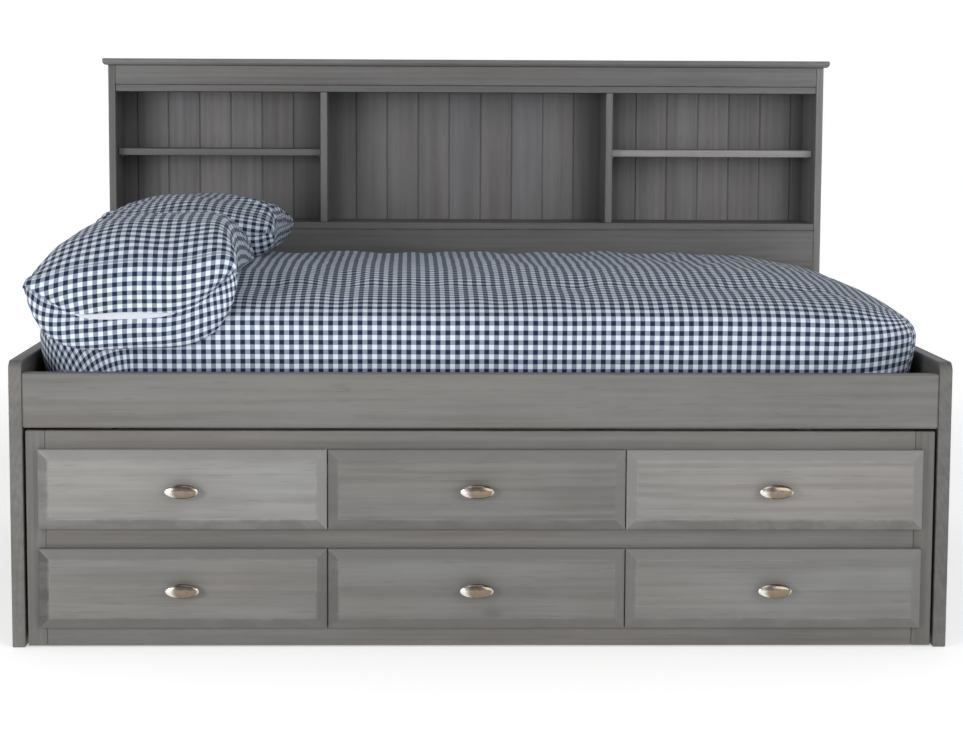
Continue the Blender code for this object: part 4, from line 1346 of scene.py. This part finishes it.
def pillow_mesh(style):
    """Closed points, faces and UV of a pillow before its cloth settles: two layers that
    share their rim, with grid lines close together near it."""
    nu, nv = PILLOW_GRID
    u = np.sin(np.linspace(-1.0, 1.0, nu + 1) * math.pi / 2)
    over = pillow_layer(style, "over", u, nv + 1)
    under = pillow_layer(style, "under", u, nv + 1)
    rows, columns = over.shape[:2]
    inside = np.zeros((rows, columns), bool)
    inside[1:-1, 1:-1] = True
    lookup = np.arange(rows * columns).reshape(rows, columns)
    lookup[inside] = rows * columns + np.arange(inside.sum())
    lookup = lookup.ravel()
    upper = grid_faces(rows, columns)
    lower = [[int(lookup[i]) for i in face[::-1]] for face in upper]
    points = np.vstack((over.reshape(-1, 3), under[inside]))
    top_uv = cloth_uv(over, int(columns * CREASE_ROW))
    low_uv = cloth_uv(np.where(inside[..., None], under, over), 0) * (1.0, -1.0) + (0.0, -0.004)
    low_uv = low_uv + top_uv[:, :1] * (0.0, 1.0)
    quads = np.array(upper)
    corners = [top_uv.reshape(-1, 2)[quads], low_uv.reshape(-1, 2)[quads[:, ::-1]]]
    return points, upper + lower, np.vstack(corners)


def corner_uv(mesh, faces_uv):
    """Writes a UV for every face corner, so that neighbouring faces needn't share theirs."""
    layer = mesh.uv_layers.new(name="UVMap")
    layer.data.foreach_set("uv", np.asarray(faces_uv, np.float32).ravel())


SETTLE_FRAMES = 20
SETTLE_SLACK = 0.050
SETTLE_PRESSURE = 3.5
SETTLE_CAP = 0.012


def settle(made):
    """Cloth pass on a closed mesh: rest lengths grow by the slack, so the case creases, and
    it is held against the mattress. No point moves further than the cap."""
    before = np.array([vertex.co for vertex in made.data.vertices])
    cloth = made.modifiers.new("settle", "CLOTH")
    settings = cloth.settings
    settings.quality = 5
    settings.mass = 0.3
    settings.air_damping = 3.0
    settings.tension_stiffness = 25.0
    settings.compression_stiffness = 25.0
    settings.shear_stiffness = 8.0
    settings.bending_stiffness = 0.25
    settings.shrink_min = -SETTLE_SLACK
    settings.use_pressure = True
    settings.uniform_pressure_force = SETTLE_PRESSURE
    settings.effector_weights.gravity = 0.25
    cloth.collision_settings.use_collision = True
    cloth.collision_settings.distance_min = 0.003
    cloth.collision_settings.use_self_collision = False
    cloth.point_cache.frame_start = 1
    cloth.point_cache.frame_end = SETTLE_FRAMES
    scene = bpy.context.scene
    for number in range(1, SETTLE_FRAMES + 1):
        scene.frame_set(number)
    graph = bpy.context.evaluated_depsgraph_get()
    settled = made.evaluated_get(graph).to_mesh()
    after = np.array([vertex.co for vertex in settled.vertices])
    made.evaluated_get(graph).to_mesh_clear()
    made.modifiers.remove(cloth)
    scene.frame_set(1)
    move = after - before
    length = np.linalg.norm(move, axis=1, keepdims=True)
    limited = before + move * np.minimum(1.0, SETTLE_CAP / np.maximum(length, 1e-9))
    made.data.vertices.foreach_set("co", limited.astype(np.float32).ravel())
    made.data.update()


class DAYBED_OT_pillows(bpy.types.Operator):
    """Two stuffed pillows in checked cases, the front one over the mattress's edge"""

    bl_idname = "daybed.pillows"
    bl_label = "Pillows"

    def execute(self, context):
        material = gingham("case_gingham", context.scene.daybed_cloth, crease_shade=True)
        collider = self.bed_top()
        for name, style in (("front_pillow", FRONT_PILLOW), ("rear_pillow", REAR_PILLOW)):
            points, faces, faces_uv = pillow_mesh(style)
            made = piece(name + "_case", points, faces, material, "bed")
            corner_uv(made.data, faces_uv)
            settle(made)
            smooth = made.modifiers.new("soft", "SUBSURF")
            smooth.levels = 1
            smooth.render_levels = 1
            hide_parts(name)
            if name == "front_pillow":
                self.hem(made, plain_cotton("case_hem", (0.60, 0.62, 0.67)))
        bpy.data.objects.remove(collider, do_unlink=True)
        return {"FINISHED"}

    def bed_top(self):
        """A coarse copy of the sheet's shape that the pillows rest on."""
        points = mattress_shell(0.02, (20, 16, 14))[0]
        faces = grid_faces(*points.shape[:2])
        mesh = bpy.data.meshes.new("bed_top")
        mesh.from_pydata((points.reshape(-1, 3) + mattress_base()).tolist(), [], faces)
        mesh.update()
        made = bpy.data.objects.new("bed_top", mesh)
        bpy.context.scene.collection.objects.link(made)
        made.modifiers.new("stop", "COLLISION")
        made.collision.thickness_outer = 0.003
        made.collision.cloth_friction = 40.0
        made.hide_render = True
        return made

    def hem(self, case, material):
        """A pale band in the case's open end: a lens along the front rim, level on top and
        sagging below, closed to a point at both ends."""
        nu, nv = PILLOW_GRID
        rim = np.array([case.data.vertices[i * (nv + 1)].co for i in range(nu + 1)])
        line = smooth_line(rim[int(nu * 0.29) : int(nu * 0.73) : 3].tolist(), 60)
        share = np.linspace(0.0, 1.0, len(line))
        half = 0.0086 * np.sin(share * math.pi) ** 0.7 + 0.0004
        turns = 16
        angle = np.linspace(0.0, 2 * math.pi, turns, endpoint=False)
        y = line[:, 1, None] - 0.0012 + 0.0034 * np.cos(angle)
        z = line[:, 2, None] + half[:, None] * np.sin(angle)
        x = np.broadcast_to(line[:, 0, None], y.shape)
        points = np.stack((x, y, z), axis=-1).reshape(-1, 3)
        faces = grid_faces(len(line), turns, wrap_columns=True)
        faces.append(list(range(turns)))
        faces.append([(len(line) - 1) * turns + i for i in range(turns - 1, -1, -1)])
        faces = outward(points, faces)
        piece("front_pillow_hem", points, faces, material, "bed")


# ---- Stage ------------------------------------------------------------------------------
CAMERA_PLACE = (-0.155, -4.745, 1.157)  # from the end panels' front edges
CAMERA_TURN = (1.158, 5.83, 0.233)  # right, down and roll, in degrees
CAMERA_SHIFT = (0.0275, -0.0275)


class DAYBED_OT_stage(bpy.types.Operator):
    """Pale floor, soft lamps and the camera"""

    bl_idname = "daybed.stage"
    bl_label = "Stage"

    def execute(self, context):
        stage = context.scene.daybed_stage
        context.scene.view_settings.view_transform = "Standard"
        self.floor()
        self.lamps(stage.light)
        self.camera(stage.lens)
        return {"FINISHED"}

    def floor(self):
        """A flat pale floor that runs far past the view."""
        half = 30.0
        points = [(x * half, y * half, 0.0) for x, y in ((-1, -1), (1, -1), (1, 1), (-1, 1))]
        made = Shader("pale_floor", 0.75)
        place = made.place()
        tone = made.mix(made.noise(place, 0.8), (0.90, 0.90, 0.90), (0.93, 0.93, 0.93))
        made.put(made.surface.inputs["Base Color"], tone)
        made.surface.inputs["Emission Color"].default_value = (1.0, 1.0, 1.0, 1.0)
        glow = made.ramp(made.vector("LENGTH", place), 1.4, 6.0, 0.44, 0.66)
        made.put(made.surface.inputs["Emission Strength"], glow)
        floor = piece("floor", points, [[0, 1, 2, 3]], made.material, None, smooth=False)

    def lamps(self, strength):
        """A pale room, white to look at, whose light is strong behind the bed and weaker
        overhead and in front, and three soft lamps."""
        world = bpy.data.worlds.new("studio")
        world.use_nodes = True
        room = WorldShader(world)
        direction = room.split(room.node("TexCoord", output="Generated"))
        back = room.ramp(direction[Y], -0.25, 0.35, 0.50, 1.0)
        high = room.ramp(direction[Z], 0.12, 0.75, 1.0, 0.40)
        light = room.math("MULTIPLY", room.math("MULTIPLY", back, high), strength)
        seen = room.node("LightPath")
        light = room.math("MAXIMUM", light, seen)
        background = world.node_tree.nodes["Background"]
        room.put(background.inputs["Strength"], light)
        background.inputs["Color"].default_value = (1.0, 1.0, 1.0, 1.0)
        bpy.context.scene.world = world
        lamps = (
            ("key", (2.5, Y_FRONT - 3.5, 2.2), (0.0, 0.0, 0.5), 2.8, 76.0),
            ("side", (-2.9, Y_FRONT - 3.1, 1.35), (0.0, 0.0, 0.5), 1.2, 68.0),
            ("top", (0.0, Y_FRONT - 1.6, 3.5), (0.0, 0.3, 0.6), 2.0, 10.0),
        )
        for name, place, target, size, power in lamps:
            light = bpy.data.lights.new(name, "AREA")
            light.shape = "SQUARE"
            light.size = size
            light.energy = power * strength
            made = bpy.data.objects.new(name, light)
            made.location = place
            aim = Vector(target) - Vector(place)
            made.rotation_euler = aim.to_track_quat("-Z", "Y").to_euler()
            bpy.context.scene.collection.objects.link(made)

    def camera(self, lens):
        """Camera that looks right, down and rolled by CAMERA_TURN from straight along +Y."""
        yaw, pitch, roll = (math.radians(angle) for angle in CAMERA_TURN)
        level = math.cos(pitch)
        ahead = Vector((math.sin(yaw) * level, math.cos(yaw) * level, -math.sin(pitch)))
        right = Vector((math.cos(yaw), -math.sin(yaw), 0.0))
        up = right.cross(ahead)
        across = right * math.cos(roll) + up * math.sin(roll)
        upright = up * math.cos(roll) - right * math.sin(roll)
        data = bpy.data.cameras.new("camera")
        data.sensor_width = 36.0
        data.lens = lens
        data.shift_x, data.shift_y = CAMERA_SHIFT
        data.clip_end = 100.0
        made = bpy.data.objects.new("camera", data)
        axes = Matrix((across, upright, -ahead)).transposed()
        place = Vector(CAMERA_PLACE) + Vector((0.0, Y_FRONT, 0.0))
        made.matrix_world = Matrix.Translation(place) @ axes.to_4x4()
        bpy.context.scene.collection.objects.link(made)
        bpy.context.scene.camera = made


# ---- Panel and registration -------------------------------------------------------------
OPERATORS = (
    DAYBED_OT_woodwork,
    DAYBED_OT_fronts,
    DAYBED_OT_crown,
    DAYBED_OT_knobs,
    DAYBED_OT_casters,
    DAYBED_OT_hardware,
    DAYBED_OT_mattress,
    DAYBED_OT_pillows,
    DAYBED_OT_stage,
)


class DAYBED_PT_pieces(bpy.types.Panel):
    """Lists the pieces in the order they are made"""

    bl_idname = "DAYBED_PT_pieces"
    bl_label = "Daybed"
    bl_space_type = "VIEW_3D"
    bl_region_type = "UI"
    bl_category = "Daybed"

    def draw(self, context):
        for operator in OPERATORS:
            self.layout.operator(operator.bl_idname)


GROUPS = {"daybed_wood": DaybedWood, "daybed_cloth": DaybedCloth, "daybed_stage": DaybedStage}
CLASSES = (*GROUPS.values(), *OPERATORS, DAYBED_PT_pieces)


def register():
    for item in CLASSES:
        bpy.utils.register_class(item)
    for name, group in GROUPS.items():
        setattr(bpy.types.Scene, name, bpy.props.PointerProperty(type=group))


def unregister():
    for name in GROUPS:
        delattr(bpy.types.Scene, name)
    for item in reversed(CLASSES):
        bpy.utils.unregister_class(item)


def clear_start_objects():
    """The start file's cube, lamp and camera go; the frame stays."""
    for name in ("Cube", "Light", "Camera"):
        thing = bpy.data.objects.get(name)
        if thing is not None:
            bpy.data.objects.remove(thing, do_unlink=True)


def main():
    clear_start_objects()
    register()
    for operator in OPERATORS:
        getattr(bpy.ops.daybed, operator.bl_idname.split(".")[1])()


if __name__ == "__main__":
    main()
